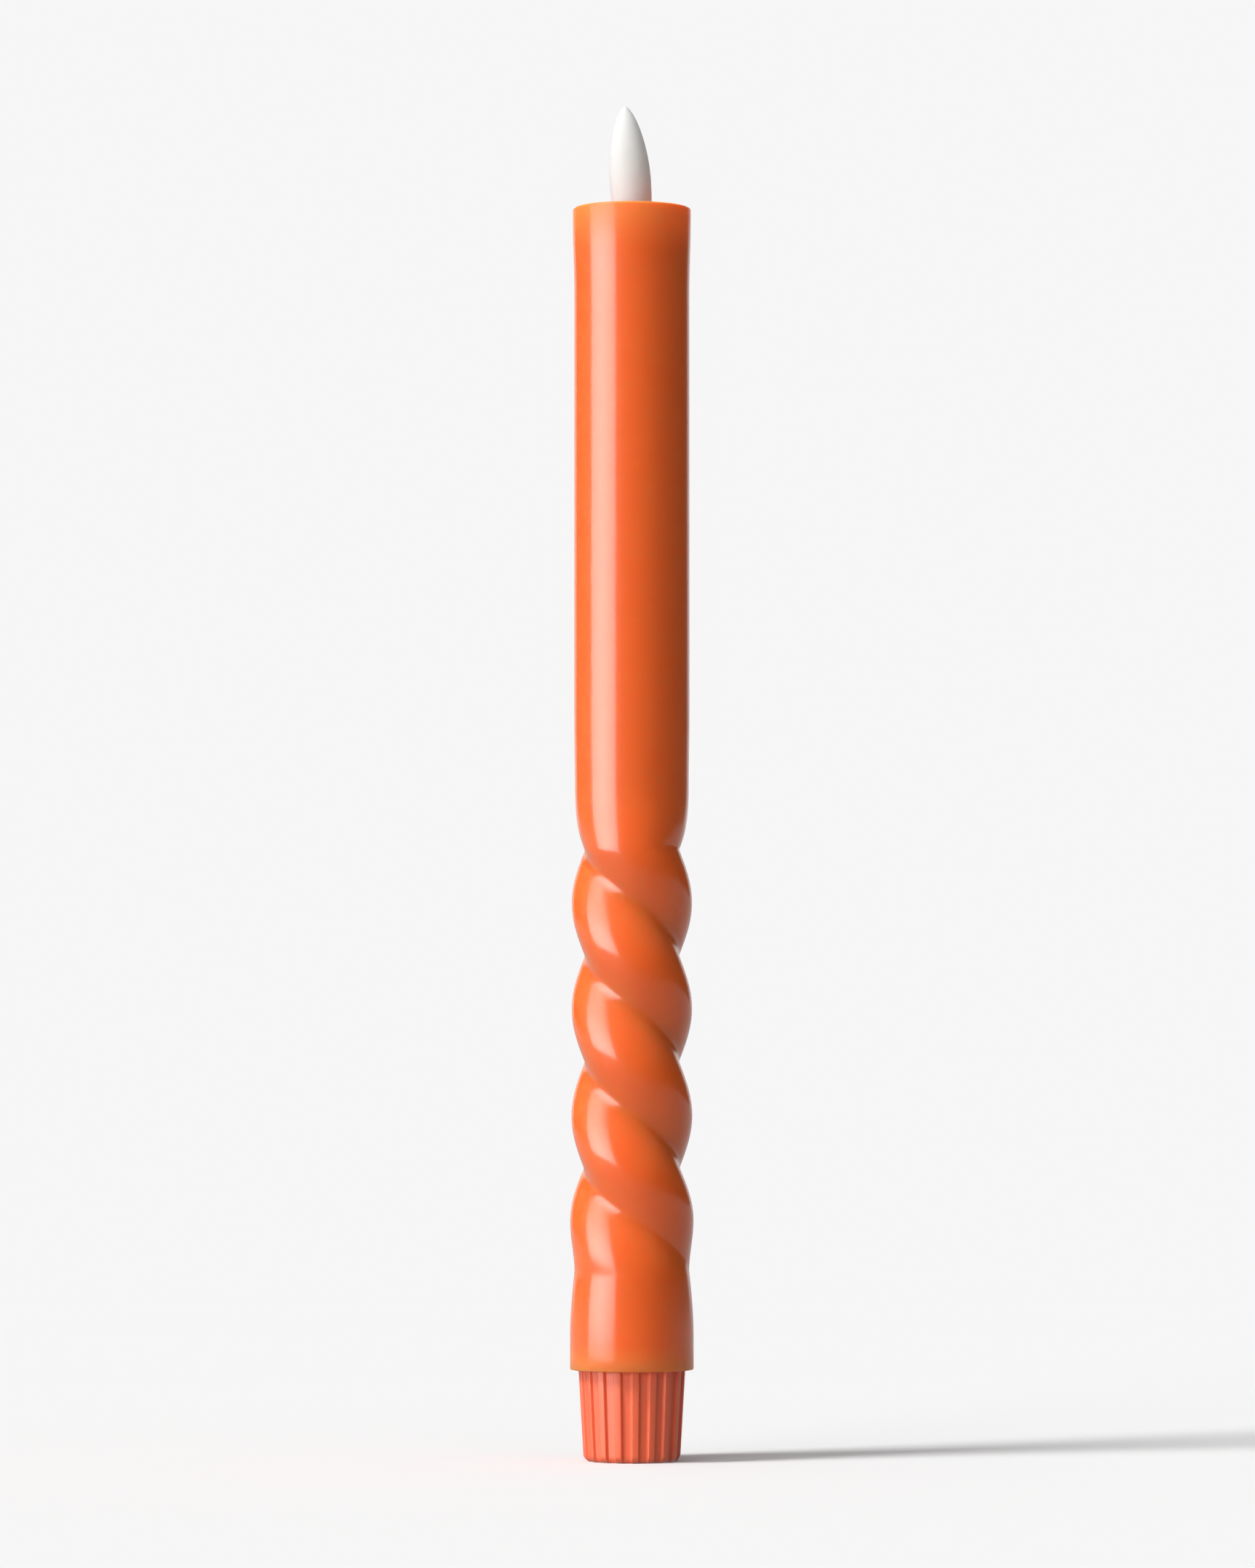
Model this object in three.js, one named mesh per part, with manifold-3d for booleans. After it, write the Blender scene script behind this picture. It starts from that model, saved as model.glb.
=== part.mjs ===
// Ribbed LED taper candle. A wax sleeve with a two-strand twist is cast round a plastic tube. The tube
// holds two AAA cells, a timer board and a small LED that shines up into a moulded white flame.
// The ribbed cap at the foot screws off to change the cells, and a slide switch sits in its underside.
// Millimetres, +Z up, front towards -Y. The origin is the middle of the foot, on the surface it stands on.

import * as THREE from "three";
import { mergeVertices } from "three/addons/utils/BufferGeometryUtils.js";
import Module from "manifold-3d";

const wasm = await Module();
wasm.setup();

const TURN = Math.PI * 2;

// Gaps between pieces
const seatGap = 0.15; // a piece that is seated, screwed down or soldered on its neighbour
const runningGap = 0.3; // a piece that slides or turns in its neighbour
const castGap = 0.2; // the wax round the tube

// Ribbed cap
const capHeight = 17.1;
const capFootRadius = 8.95; // over the ribs, just above the rounded corner
const capRimRadius = 9.85; // over the ribs, at the top
const capCorner = 1.3;
const ribCount = 18;
const ribWidth = 1.2;
const ribDepth = 0.6;
const ribDraft = 0.16; // how far each flank leans out from crest to root
const capFloor = 1.2;
const recessRadius = 5.7; // the dish under the cap keeps the knob clear of the table
const recessDepth = 1.3;
const chamberRadius = 6.9; // room for the switch below its board

// Slide switch and its board, inside the cap
const switchLength = 8.6;
const switchWidth = 4.2;
const switchHeight = 3.1;
const switchPinSpacing = 2;
const pinSize = 0.5;
const knobLength = 1.6;
const knobWidth = 1.7;
const knobTravel = 2; // from the middle, off, to either end
const knobProud = 0.85; // out of the cap's floor
const knobRoot = 0.9; // inside the switch
const knobGrooveCount = 2;
const knobGroove = 0.25;
const switchBoardThickness = 1;
const screwRadius = 0.6;
const screwHeadRadius = 0.95;
const screwHeadHeight = 0.6;
const screwLength = 3.6; // below its head
const screwOffset = 4.8; // from the cap's axis
const bossWall = 0.7;

// Contacts, of sheet metal and wire
const sheetMetal = 0.3;
const contactRingWidth = 1.2;
const springHeight = 4.2; // as the cells hold it
const springFootRadius = 3.2;
const springTopRadius = 2;
const springWire = 0.5;
const springTurns = 3.5;
const topContactRadius = 4.4;
const dimpleRadius = 1.3;
const dimpleFlat = 0.8;
const dimpleDepth = 0.5;
const tabWidth = 2;
const tabRise = 4; // above the bulkhead
const stripWidth = 2.5;
const stripRise = 5; // above the bulkhead

// AAA cells
const cellRadius = 5.2;
const cellLength = 44.5;
const cellNubRadius = 1.9;
const cellNubHeight = 0.9;
const cellCorner = 0.5;

// Plastic tube
const cellClearance = 0.4;
const tubeWall = 1.35;
const ledgeWidth = 0.5; // the step that carries the bulkhead
const threadRoom = 0.9; // between tube and cap, for the moulded thread on both

// Wax sleeve: a straight taper above, a two-strand twist below it, and a collar over the cap
const waxLength = 214.2;
const skirtOverlap = 0.4; // the collar hides the cap's rim by this much
const collarRadius = 11.35;
const twistRadius = 11.1; // over the strands
const neckRadius = 10.5; // just above the twist
const straightRadius = 10.65;
const rimRadius = 10.9;
const edgeRound = 0.45;
const grooveSpacing = 19.5; // up one side, from a groove to the next
const frontGroove = 85.7; // above the wax's lower end, where a groove crosses the front
const strandOffset = 2.4; // each strand's own axis lies this far off the candle's
const grooveTurns = 2; // from the lowest notch in the outline to the topmost
const collarLength = 6; // round, below the twist
const twistFadeIn = 31.3; // the grooves deepen over this height
const twistFadeOut = 11; // the grooves run out over this height, above the topmost notch
const collarTaper = 24; // from the collar's radius to the strands'
const collarTaperLead = 10; // it starts this far below the twist's full depth
const neckTaper = 10; // from the strands' radius to the neck's
const straightTaper = 14; // from the neck's radius to the straight part's
const rimFlare = 13; // from the straight part's radius to the rim's
const rimLength = 3; // upright, below the rim's rounded edge
const dishRadius = 8.9; // melt pool in the top
const dishDepth = 4.4;
const dishFloor = 2;
const dishFillet = 1.6;

// Flame and its holder
const flameRise = 19.1; // above the wax's rim
const flameRadius = 3.84;
const flameStemRadius = 3.55;
const flameBlade = 14; // from the widest part up to the tip
const flameLean = 1.25; // the tip leans towards -X
const flameDepthShare = 0.94; // front to back, of its width
const flameTipRadius = 0.05;
const flameBoreRadius = 2.2;
const flameBoreTipRadius = 1.1;
const flameBoreStraight = 8;
const flameBoreHeight = 13;
const flameHoleGap = 0.5; // the wax round the flame's stem
const holderFlange = 1;
const holderSocketDepth = 5;
const holderFloor = 1.2;
const holderSkirt = 4.6;
const holderSkirtWall = 1.6;

// LED, 3 mm type
const ledRadius = 1.5;
const ledFlangeRadius = 1.9;
const ledFlangeHeight = 1;
const ledBodyHeight = 2.9; // from its flange to the root of its dome
const legSize = 0.5;
const legSpacing = 2.54;
const legLength = 9;

// Timer board and what is on it; a rise is measured from the board's lower edge
const bulkheadThickness = 2;
const boardWidth = 8;
const boardHeight = 34;
const boardThickness = 1;
const clipWidth = 2;
const clipDepth = 2.8;
const clipHeight = 5;
const chipLength = 4.9;
const chipWidth = 3.9;
const chipHeight = 1.5;
const chipStandoff = 0.1;
const chipRise = 13;
const chipLegsPerSide = 4;
const chipLegReach = 0.9;
const chipLegWidth = 0.4;
const chipLegPitch = 1.27;
const crystalRadius = 1;
const crystalLength = 6;
const crystalRise = 18;
const capacitorRadius = 2;
const capacitorLength = 7;
const capacitorRise = 10;
const capacitorGroove = 0.15;
const capacitorGrooveRise = 1.1;
const resistorLength = 2;
const resistorWidth = 1.25;
const resistorHeight = 0.5;
const lowerResistorRise = 8;
const upperResistorRise = 28;
const leadRadius = 0.45;
const padInset = 1.4; // of the LED leads' solder pads, from the board's sides
const padDrop = 3; // from the board's top
const stripPadDrop = 1; // of the strip lead's solder pad, below the capacitor

// Fineness of the round shapes
const roundSteps = 36;
const smallSteps = 16;
const cornerSteps = 3;
const waxSteps = 36;
const twistStep = 1.6; // height
const flameSteps = 24;
const flameLowerSteps = 4;
const flameBladeSteps = 12;
const springSides = 6;
const springStepsPerTurn = 14;
const leadSides = 8;

// Radii that follow from the sizes above
const tubeBore = cellRadius + cellClearance;
const tubeRadius = tubeBore + tubeWall;
const upperBore = tubeBore + ledgeWidth;
const capBore = tubeRadius + threadRoom;
const waxBore = tubeRadius + castGap;
const stripFront = tubeBore + seatGap / 2; // the strip lies in a keyway, just clear of the cells
const stripBack = stripFront + sheetMetal;
const keywayRadius = stripBack + seatGap;

// Heights that follow from the sizes above, from the foot up
const cavityFloor = recessDepth + capFloor;
const switchFoot = cavityFloor + seatGap;
const switchTop = switchFoot + switchHeight;
const boardSeat = switchTop + seatGap;
const switchBoardFoot = boardSeat + seatGap;
const switchBoardTop = switchBoardFoot + switchBoardThickness;
const screwHeadFoot = switchBoardTop + seatGap;
const screwTip = screwHeadFoot - screwLength;
const contactRingFoot = switchBoardTop + seatGap;
const contactRingTop = contactRingFoot + sheetMetal;
const stripFoot = contactRingTop + seatGap;
const tubeFoot = stripFoot + sheetMetal + seatGap;
const springFoot = switchBoardTop + seatGap;
const cellFoot = springFoot + springHeight + seatGap;
const cellTop = cellFoot + 2 * cellLength;
const topContactFoot = cellTop + seatGap + dimpleDepth;
const ledge = topContactFoot + sheetMetal + seatGap;
const bulkheadFoot = ledge + seatGap;
const bulkheadTop = bulkheadFoot + bulkheadThickness;
const timerBoardFoot = bulkheadTop + seatGap;
const timerBoardTop = timerBoardFoot + boardHeight;
const waxFoot = capHeight - skirtOverlap;
const waxTop = waxFoot + waxLength;
const fadeStart = waxFoot + collarLength;
const twistLow = fadeStart + twistFadeIn;
const twistHigh = waxFoot + frontGroove + grooveSpacing / 2; // a groove faces each side here
const lowestGroove = twistHigh - 2 * grooveTurns * grooveSpacing;
const fadeEnd = twistHigh + twistFadeOut;
const dishBottom = waxTop - dishDepth;
const waxBoreTop = dishBottom - dishFloor;
const holderTop = waxBoreTop - seatGap;
const flangeFoot = holderTop - holderFlange;
const tubeTop = flangeFoot - seatGap;
const socketFloor = holderTop - holderSocketDepth;
const socketUnderside = socketFloor - holderFloor;
const holderFoot = socketUnderside - holderSkirt;
const flameFoot = socketFloor + seatGap;
const flameTip = waxTop + flameRise;
const flameWidest = flameTip - flameBlade;
const ledFlangeTop = socketUnderside - seatGap;
const ledFoot = ledFlangeTop - ledFlangeHeight;
const legTop = ledFoot - seatGap;
const legFoot = legTop - legLength;

// The timer board stands across the middle, so its pieces lie on a front and a back plane.
const boardFront = -boardThickness / 2 - seatGap;
const boardBack = boardThickness / 2 + seatGap;

// Solids and geometries

function solidOf(geometry) {
  const bare = new THREE.BufferGeometry().setAttribute("position", geometry.getAttribute("position"));
  bare.setIndex(geometry.index);
  const merged = mergeVertices(bare);
  return new wasm.Manifold(
    new wasm.Mesh({
      numProp: 3,
      vertProperties: new Float32Array(merged.attributes.position.array),
      triVerts: new Uint32Array(merged.index.array),
    }),
  );
}

function mesh(name, solid, material) {
  const { vertProperties, triVerts } = solid.getMesh();
  const geometry = new THREE.BufferGeometry();
  geometry.setAttribute("position", new THREE.BufferAttribute(new Float32Array(vertProperties), 3));
  geometry.setIndex(new THREE.BufferAttribute(new Uint32Array(triVerts), 1));
  geometry.computeVertexNormals();
  const made = new THREE.Mesh(geometry, material);
  made.name = name;
  return made;
}

function joined(first, ...others) {
  return others.reduce((sum, other) => sum.add(other), first);
}

function cut(first, ...others) {
  return others.reduce((rest, other) => rest.subtract(other), first);
}

// A turned solid about the Z axis. The profile holds [radius, height] points, anticlockwise with the
// radius to the right, and starts and ends on the axis or at the same point.
function turned(profile, steps = roundSteps) {
  const points = profile.map(([radius, height]) => new THREE.Vector2(radius, height));
  return solidOf(new THREE.LatheGeometry(points, steps).rotateX(Math.PI / 2));
}

function disc(radius, low, high, steps = roundSteps) {
  return turned([[0, low], [radius, low], [radius, high], [0, high]], steps);
}

function ring(inner, outer, low, high) {
  return turned([[inner, low], [outer, low], [outer, high], [inner, high], [inner, low]]);
}

// A box given by its lowest and highest corners.
function block([x0, y0, z0], [x1, y1, z1]) {
  const box = new THREE.BoxGeometry(x1 - x0, y1 - y0, z1 - z0);
  return solidOf(box.translate((x0 + x1) / 2, (y0 + y1) / 2, (z0 + z1) / 2));
}

// A skin through rings of points, each ring anticlockwise seen from ahead of it, closed at both ends.
function lofted(rings) {
  const count = rings[0].length;
  const points = rings.flat();
  const index = [];
  for (let i = 0; i + 1 < rings.length; i++) {
    for (let k = 0; k < count; k++) {
      const here = i * count + k;
      const next = i * count + ((k + 1) % count);
      index.push(here, next, next + count, here, next + count, here + count);
    }
  }
  const closeEnd = (ringIndex, outward) => {
    const middle = new THREE.Vector3();
    rings[ringIndex].forEach((point) => middle.addScaledVector(point, 1 / count));
    const hub = points.push(middle) - 1;
    for (let k = 0; k < count; k++) {
      const here = ringIndex * count + k;
      const next = ringIndex * count + ((k + 1) % count);
      index.push(...(outward ? [hub, here, next] : [hub, next, here]));
    }
  };
  closeEnd(0, false);
  closeEnd(rings.length - 1, true);
  return solidOf(new THREE.BufferGeometry().setFromPoints(points).setIndex(index));
}

function onCircle(radius, angle, height) {
  return new THREE.Vector3(radius * Math.cos(angle), radius * Math.sin(angle), height);
}

function smooth(low, high, value) {
  return THREE.MathUtils.smoothstep(value, low, high);
}

// Points of a quarter turn, as shares of its radius: [inwards from the side, up from the foot].
function quarterTurn(steps) {
  return Array.from({ length: steps + 1 }, (_, i) => {
    const bend = ((i / steps) * Math.PI) / 2;
    return [1 - Math.sin(bend), 1 - Math.cos(bend)];
  });
}

// Materials

function finish(color, roughness, metalness = 0) {
  return new THREE.MeshStandardMaterial({ color, roughness, metalness });
}

const orangeWax = finish(0xe8622a, 0.38);
const coralPlastic = finish(0xf0694c, 0.55);
const whitePlastic = finish(0xf2f0ea, 0.5);
const flamePlastic = finish(0xf7f6f2, 0.35);
const nickel = finish(0xb9b7b0, 0.3, 1);
const steel = finish(0x9a9a98, 0.35, 1);
const cellJacket = finish(0x3f4a56, 0.45);
const boardGreen = finish(0x1f5c3a, 0.5);
const chipBlack = finish(0x1c1c1e, 0.6);
const knobBlack = finish(0x222224, 0.5);
const redPvc = finish(0xb32620, 0.5);
const blackPvc = finish(0x1d1d1f, 0.5);
const clearEpoxy = finish(0xe9e4cf, 0.15);

// Ribbed cap

// The cap's outline at a height, with its ribs. The first rib starts at the middle of the front.
function ribOutline(crest, root, height) {
  const pitch = TURN / ribCount;
  const crestHalf = ribWidth / 2 / crest;
  const rootHalf = (ribWidth / 2 + ribDraft) / root;
  const points = [];
  for (let rib = 0; rib < ribCount; rib++) {
    const middle = rib * pitch - TURN / 4 + crestHalf;
    points.push(
      onCircle(root, middle - rootHalf, height),
      onCircle(crest, middle - crestHalf, height),
      onCircle(crest, middle + crestHalf, height),
      onCircle(root, middle + rootHalf, height),
      onCircle(root, middle + pitch / 2, height),
    );
  }
  return points;
}

// The ribs run out on the rounded corner, where crest and root meet.
function capShell() {
  const rings = quarterTurn(cornerSteps).map(([inwards, up]) => {
    const crest = capFootRadius - capCorner * inwards;
    return ribOutline(crest, crest - ribDepth * Math.max(1 - inwards, 0.05), capCorner * up);
  });
  rings.push(ribOutline(capRimRadius, capRimRadius - ribDepth, capHeight));
  return lofted(rings);
}

// Room for the switch, and above the board's seat the bore that takes the tube.
function capCavity() {
  const above = capHeight + 1;
  return turned([
    [0, cavityFloor],
    [chamberRadius, cavityFloor],
    [chamberRadius, boardSeat],
    [capBore, boardSeat],
    [capBore, above],
    [0, above],
  ]);
}

const screwPlaces = [
  { side: "left", y: -screwOffset },
  { side: "right", y: screwOffset },
];

const knobSlotHalf = knobLength / 2 + knobTravel + runningGap;

function baseCap() {
  const knobSlot = block(
    [-knobSlotHalf, -knobWidth / 2 - runningGap, 0],
    [knobSlotHalf, knobWidth / 2 + runningGap, cavityFloor + 1],
  );
  const recess = disc(recessRadius, -1, recessDepth);
  const bosses = screwPlaces.map(({ y }) => {
    const boss = disc(screwRadius + bossWall, cavityFloor - seatGap, boardSeat, smallSteps);
    const hole = disc(screwRadius + seatGap, screwTip - runningGap, boardSeat + 1, smallSteps);
    return boss.subtract(hole).translate([0, y, 0]);
  });
  const hollowed = cut(capShell(), capCavity(), recess, knobSlot);
  return mesh("base_cap", joined(hollowed, ...bosses), coralPlastic);
}

// Switch, its board and the contacts in the cap

const pinPlaces = [-switchPinSpacing, 0, switchPinSpacing];

function switchBody() {
  const can = block(
    [-switchLength / 2, -switchWidth / 2, switchFoot],
    [switchLength / 2, switchWidth / 2, switchTop],
  );
  const slot = block(
    [-knobSlotHalf, -knobWidth / 2 - seatGap, switchFoot - 1],
    [knobSlotHalf, knobWidth / 2 + seatGap, switchFoot + knobRoot + runningGap],
  );
  const half = pinSize / 2;
  const pins = pinPlaces.map((x) =>
    block([x - half, -half, switchTop - seatGap], [x + half, half, switchBoardTop + pinSize]),
  );
  return mesh("switch_body", joined(can.subtract(slot), ...pins), steel);
}

function switchKnob() {
  const low = recessDepth - knobProud;
  const high = switchFoot + knobRoot;
  const knob = block([-knobLength / 2, -knobWidth / 2, low], [knobLength / 2, knobWidth / 2, high]);
  const grooves = [];
  for (let i = 1; i <= knobGrooveCount; i++) {
    const x = (i / (knobGrooveCount + 1) - 0.5) * knobLength;
    grooves.push(
      block([x - knobGroove / 2, -knobWidth, low - 1], [x + knobGroove / 2, knobWidth, low + knobGroove]),
    );
  }
  return mesh("switch_knob", cut(knob, ...grooves), knobBlack);
}

function switchBoard() {
  const board = disc(capBore - seatGap, switchBoardFoot, switchBoardTop);
  const half = pinSize / 2 + seatGap;
  const below = switchBoardFoot - 1;
  const above = switchBoardTop + 1;
  const pinHoles = pinPlaces.map((x) => block([x - half, -half, below], [x + half, half, above]));
  const screwHoles = screwPlaces.map(({ y }) =>
    disc(screwRadius + seatGap, below, above, smallSteps).translate([0, y, 0]),
  );
  return mesh("switch_board", cut(board, ...pinHoles, ...screwHoles), boardGreen);
}

function boardScrew({ side, y }) {
  const screw = turned(
    [
      [0, screwTip],
      [screwRadius, screwTip + screwRadius],
      [screwRadius, screwHeadFoot],
      [screwHeadRadius, screwHeadFoot],
      [screwHeadRadius, screwHeadFoot + screwHeadHeight],
      [0, screwHeadFoot + screwHeadHeight],
    ],
    smallSteps,
  );
  return mesh(`board_screw_${side}`, screw.translate([0, y, 0]), steel);
}

function contactRing() {
  const band = ring(tubeRadius - contactRingWidth, tubeRadius, contactRingFoot, contactRingTop);
  return mesh("contact_ring", band, nickel);
}

// One unbroken wire that winds up and inwards, its first and last quarter turn flat.
function contactSpring() {
  const wire = springWire / 2;
  const flatShare = 0.25 / springTurns;
  const steps = Math.round(springTurns * springStepsPerTurn);
  const rings = [];
  for (let i = 0; i <= steps; i++) {
    const share = i / steps;
    const climb = THREE.MathUtils.clamp((share - flatShare) / (1 - 2 * flatShare), 0, 1);
    const radius = THREE.MathUtils.lerp(springFootRadius, springTopRadius, climb);
    const height = springFoot + wire + climb * (springHeight - springWire);
    const section = [];
    for (let k = 0; k < springSides; k++) {
      const round = (-k / springSides) * TURN;
      const reach = radius + wire * Math.cos(round);
      section.push(onCircle(reach, share * springTurns * TURN, height + wire * Math.sin(round)));
    }
    rings.push(section);
  }
  return mesh("contact_spring", lofted(rings), nickel);
}

// Cells, and the contacts in the tube

function cell(name, foot) {
  const shoulder = foot + cellLength - cellNubHeight;
  const solid = turned([
    [0, foot],
    [cellRadius - cellCorner, foot],
    [cellRadius, foot + cellCorner],
    [cellRadius, shoulder - cellCorner],
    [cellRadius - cellCorner, shoulder],
    [cellNubRadius, shoulder],
    [cellNubRadius, foot + cellLength],
    [0, foot + cellLength],
  ]);
  return mesh(name, solid, cellJacket);
}

// The top contact's tab passes through the bulkhead and lies on the board's front.
function contactTab(gap) {
  return block(
    [-tabWidth / 2 - gap, boardFront - sheetMetal - gap, topContactFoot],
    [tabWidth / 2 + gap, boardFront + gap, bulkheadTop + tabRise],
  );
}

function topContact() {
  const plate = disc(topContactRadius, topContactFoot, topContactFoot + sheetMetal);
  const inPlate = topContactFoot + sheetMetal / 2;
  const dimple = turned(
    [
      [0, topContactFoot - dimpleDepth],
      [dimpleFlat, topContactFoot - dimpleDepth],
      [dimpleRadius, inPlate],
      [0, inPlate],
    ],
    smallSteps,
  );
  return mesh("top_contact", joined(plate, dimple, contactTab(0)), nickel);
}

// The strip runs up the tube's keyway, and its foot is folded out under the tube's end.
function negativeStrip() {
  const half = stripWidth / 2;
  const riser = block([-half, stripFront, stripFoot], [half, stripBack, bulkheadTop + stripRise]);
  const foot = block(
    [-half, stripFront, stripFoot],
    [half, tubeRadius - seatGap, stripFoot + sheetMetal],
  );
  return mesh("negative_strip", riser.add(foot), nickel);
}

// Plastic tube, bulkhead and flame holder

function coreTube() {
  const wall = turned([
    [tubeBore, tubeFoot],
    [tubeRadius, tubeFoot],
    [tubeRadius, tubeTop],
    [upperBore, tubeTop],
    [upperBore, ledge],
    [tubeBore, ledge],
    [tubeBore, tubeFoot],
  ]);
  const half = stripWidth / 2 + seatGap;
  const keyway = block([-half, 0, tubeFoot - 1], [half, keywayRadius, ledge + 1]);
  return mesh("core_tube", wall.subtract(keyway), whitePlastic);
}

function bulkhead() {
  const plate = disc(upperBore - seatGap, bulkheadFoot, bulkheadTop);
  const clipFoot = bulkheadTop - seatGap;
  const clips = [-1, 1].map((side) => {
    const middle = (side * boardWidth) / 2;
    return block(
      [middle - clipWidth / 2, -clipDepth / 2, clipFoot],
      [middle + clipWidth / 2, clipDepth / 2, bulkheadTop + clipHeight],
    );
  });
  const boardSlot = block(
    [-boardWidth / 2 - seatGap, boardFront, bulkheadTop],
    [boardWidth / 2 + seatGap, boardBack, timerBoardTop],
  );
  const half = stripWidth / 2 + seatGap;
  const stripNotch = block(
    [-half, stripFront - seatGap, bulkheadFoot - 1],
    [half, upperBore, bulkheadTop + 1],
  );
  const body = cut(joined(plate, ...clips), boardSlot, stripNotch, contactTab(seatGap));
  return mesh("bulkhead", body, whitePlastic);
}

function flameHolder() {
  const skirtRadius = upperBore - seatGap;
  const skirtBore = skirtRadius - holderSkirtWall;
  const ledHole = ledRadius + seatGap;
  const socket = flameStemRadius + seatGap;
  const solid = turned([
    [ledHole, socketUnderside],
    [skirtBore, socketUnderside],
    [skirtBore, holderFoot],
    [skirtRadius, holderFoot],
    [skirtRadius, flangeFoot],
    [tubeRadius, flangeFoot],
    [tubeRadius, holderTop],
    [socket, holderTop],
    [socket, socketFloor],
    [ledHole, socketFloor],
    [ledHole, socketUnderside],
  ]);
  return mesh("flame_holder", solid, whitePlastic);
}

// Flame and LED

// Half the flame's width: a straight stem, a swelling, and a blade that closes to the tip.
function flameHalfWidth(height) {
  if (height <= flameWidest) {
    return THREE.MathUtils.lerp(flameStemRadius, flameRadius, smooth(dishBottom, flameWidest, height));
  }
  const share = Math.min(1, (height - flameWidest) / flameBlade);
  return Math.max(flameTipRadius, flameRadius * (1 - share ** 1.9) ** 0.65);
}

function flameRing(height) {
  const radius = flameHalfWidth(height);
  const lean = flameLean * Math.max(0, (height - waxTop) / flameRise) ** 1.15;
  const points = [];
  for (let k = 0; k < flameSteps; k++) {
    const point = onCircle(radius, (k / flameSteps) * TURN, height);
    points.push(new THREE.Vector3(point.x - lean, point.y * flameDepthShare, height));
  }
  return points;
}

function flame() {
  const heights = [flameFoot];
  for (let i = 0; i <= flameLowerSteps; i++) {
    heights.push(THREE.MathUtils.lerp(dishBottom, flameWidest, i / flameLowerSteps));
  }
  for (let i = 1; i <= flameBladeSteps; i++) {
    heights.push(flameWidest + flameBlade * Math.sin(((i / flameBladeSteps) * Math.PI) / 2));
  }
  const bore = turned(
    [
      [0, flameFoot - 1],
      [flameBoreRadius, flameFoot - 1],
      [flameBoreRadius, flameFoot + flameBoreStraight],
      [flameBoreTipRadius, flameFoot + flameBoreHeight],
      [0, flameFoot + flameBoreHeight],
    ],
    smallSteps,
  );
  return mesh("flame", lofted(heights.map(flameRing)).subtract(bore), flamePlastic);
}

function led() {
  const domeFoot = ledFlangeTop + ledBodyHeight;
  const dome = quarterTurn(cornerSteps).map(([inwards, up]) => [
    ledRadius * (1 - up),
    domeFoot + ledRadius * (1 - inwards),
  ]);
  const profile = [
    [0, ledFoot],
    [ledFlangeRadius, ledFoot],
    [ledFlangeRadius, ledFlangeTop],
    [ledRadius, ledFlangeTop],
    ...dome,
  ];
  return mesh("led", turned(profile, smallSteps), clearEpoxy);
}

function ledLeg(name, side) {
  const x = (side * legSpacing) / 2;
  const half = legSize / 2;
  return mesh(name, block([x - half, -half, legFoot], [x + half, half, legTop]), nickel);
}

// Timer board and the pieces on it

function timerBoard() {
  const board = block(
    [-boardWidth / 2, -boardThickness / 2, timerBoardFoot],
    [boardWidth / 2, boardThickness / 2, timerBoardTop],
  );
  return mesh("timer_board", board, boardGreen);
}

function timerChip() {
  const middle = timerBoardFoot + chipRise;
  const back = boardFront - chipStandoff;
  const body = block(
    [-chipWidth / 2, back - chipHeight, middle - chipLength / 2],
    [chipWidth / 2, back, middle + chipLength / 2],
  );
  const reach = chipWidth / 2 + chipLegReach;
  const legs = [];
  for (let i = 0; i < chipLegsPerSide; i++) {
    const low = middle + (i - (chipLegsPerSide - 1) / 2) * chipLegPitch - chipLegWidth / 2;
    legs.push(block([-reach, boardFront - chipLegWidth, low], [reach, boardFront, low + chipLegWidth]));
  }
  return mesh("timer_chip", joined(body, ...legs), chipBlack);
}

function timerCrystal() {
  const foot = timerBoardFoot + crystalRise;
  const can = disc(crystalRadius, foot, foot + crystalLength, smallSteps);
  return mesh("timer_crystal", can.translate([0, boardFront - crystalRadius, 0]), nickel);
}

function boardCapacitor() {
  const foot = timerBoardFoot + capacitorRise;
  const groove = foot + capacitorGrooveRise;
  const can = turned(
    [
      [0, foot],
      [capacitorRadius, foot],
      [capacitorRadius, groove - capacitorGroove],
      [capacitorRadius - capacitorGroove, groove],
      [capacitorRadius, groove + capacitorGroove],
      [capacitorRadius, foot + capacitorLength],
      [0, foot + capacitorLength],
    ],
    smallSteps,
  );
  return mesh("board_capacitor", can.translate([0, boardBack + capacitorRadius, 0]), cellJacket);
}

function boardResistor(name, rise) {
  const middle = timerBoardFoot + rise;
  const resistor = block(
    [-resistorLength / 2, boardFront - resistorHeight, middle - resistorWidth / 2],
    [resistorLength / 2, boardFront, middle + resistorWidth / 2],
  );
  return mesh(name, resistor, chipBlack);
}

// A round lead through the points given, in order.
function lead(name, points, material) {
  const route = new THREE.CatmullRomCurve3(points.map((p) => new THREE.Vector3(...p)), false, "centripetal");
  const round = Array.from({ length: leadSides }, (_, k) => {
    const angle = (k / leadSides) * TURN;
    return new THREE.Vector2(leadRadius * Math.cos(angle), leadRadius * Math.sin(angle));
  });
  const steps = Math.ceil(route.getLength() / (5 * leadRadius));
  const tube = new THREE.ExtrudeGeometry(new THREE.Shape(round), { steps, extrudePath: route });
  return mesh(name, solidOf(tube), material);
}

// The LED's two leads rise from pads on the board's front, wander a little and meet the LED's legs.
function ledLead(name, side, material) {
  const padX = side * (boardWidth / 2 - padInset);
  const legX = (side * legSpacing) / 2;
  const face = boardFront - leadRadius;
  const at = (share) => THREE.MathUtils.lerp(timerBoardTop, legFoot, share);
  return lead(
    name,
    [
      [padX, face, timerBoardTop - padDrop],
      [padX, face, timerBoardTop],
      [side * 2.1, face + 0.8, at(0.2)],
      [side * 1.5, face + 0.2, at(0.45)],
      [side * 1.9, face + 1.3, at(0.7)],
      [legX, 0, at(0.93)],
      [legX, 0, legFoot - seatGap],
    ],
    material,
  );
}

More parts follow.
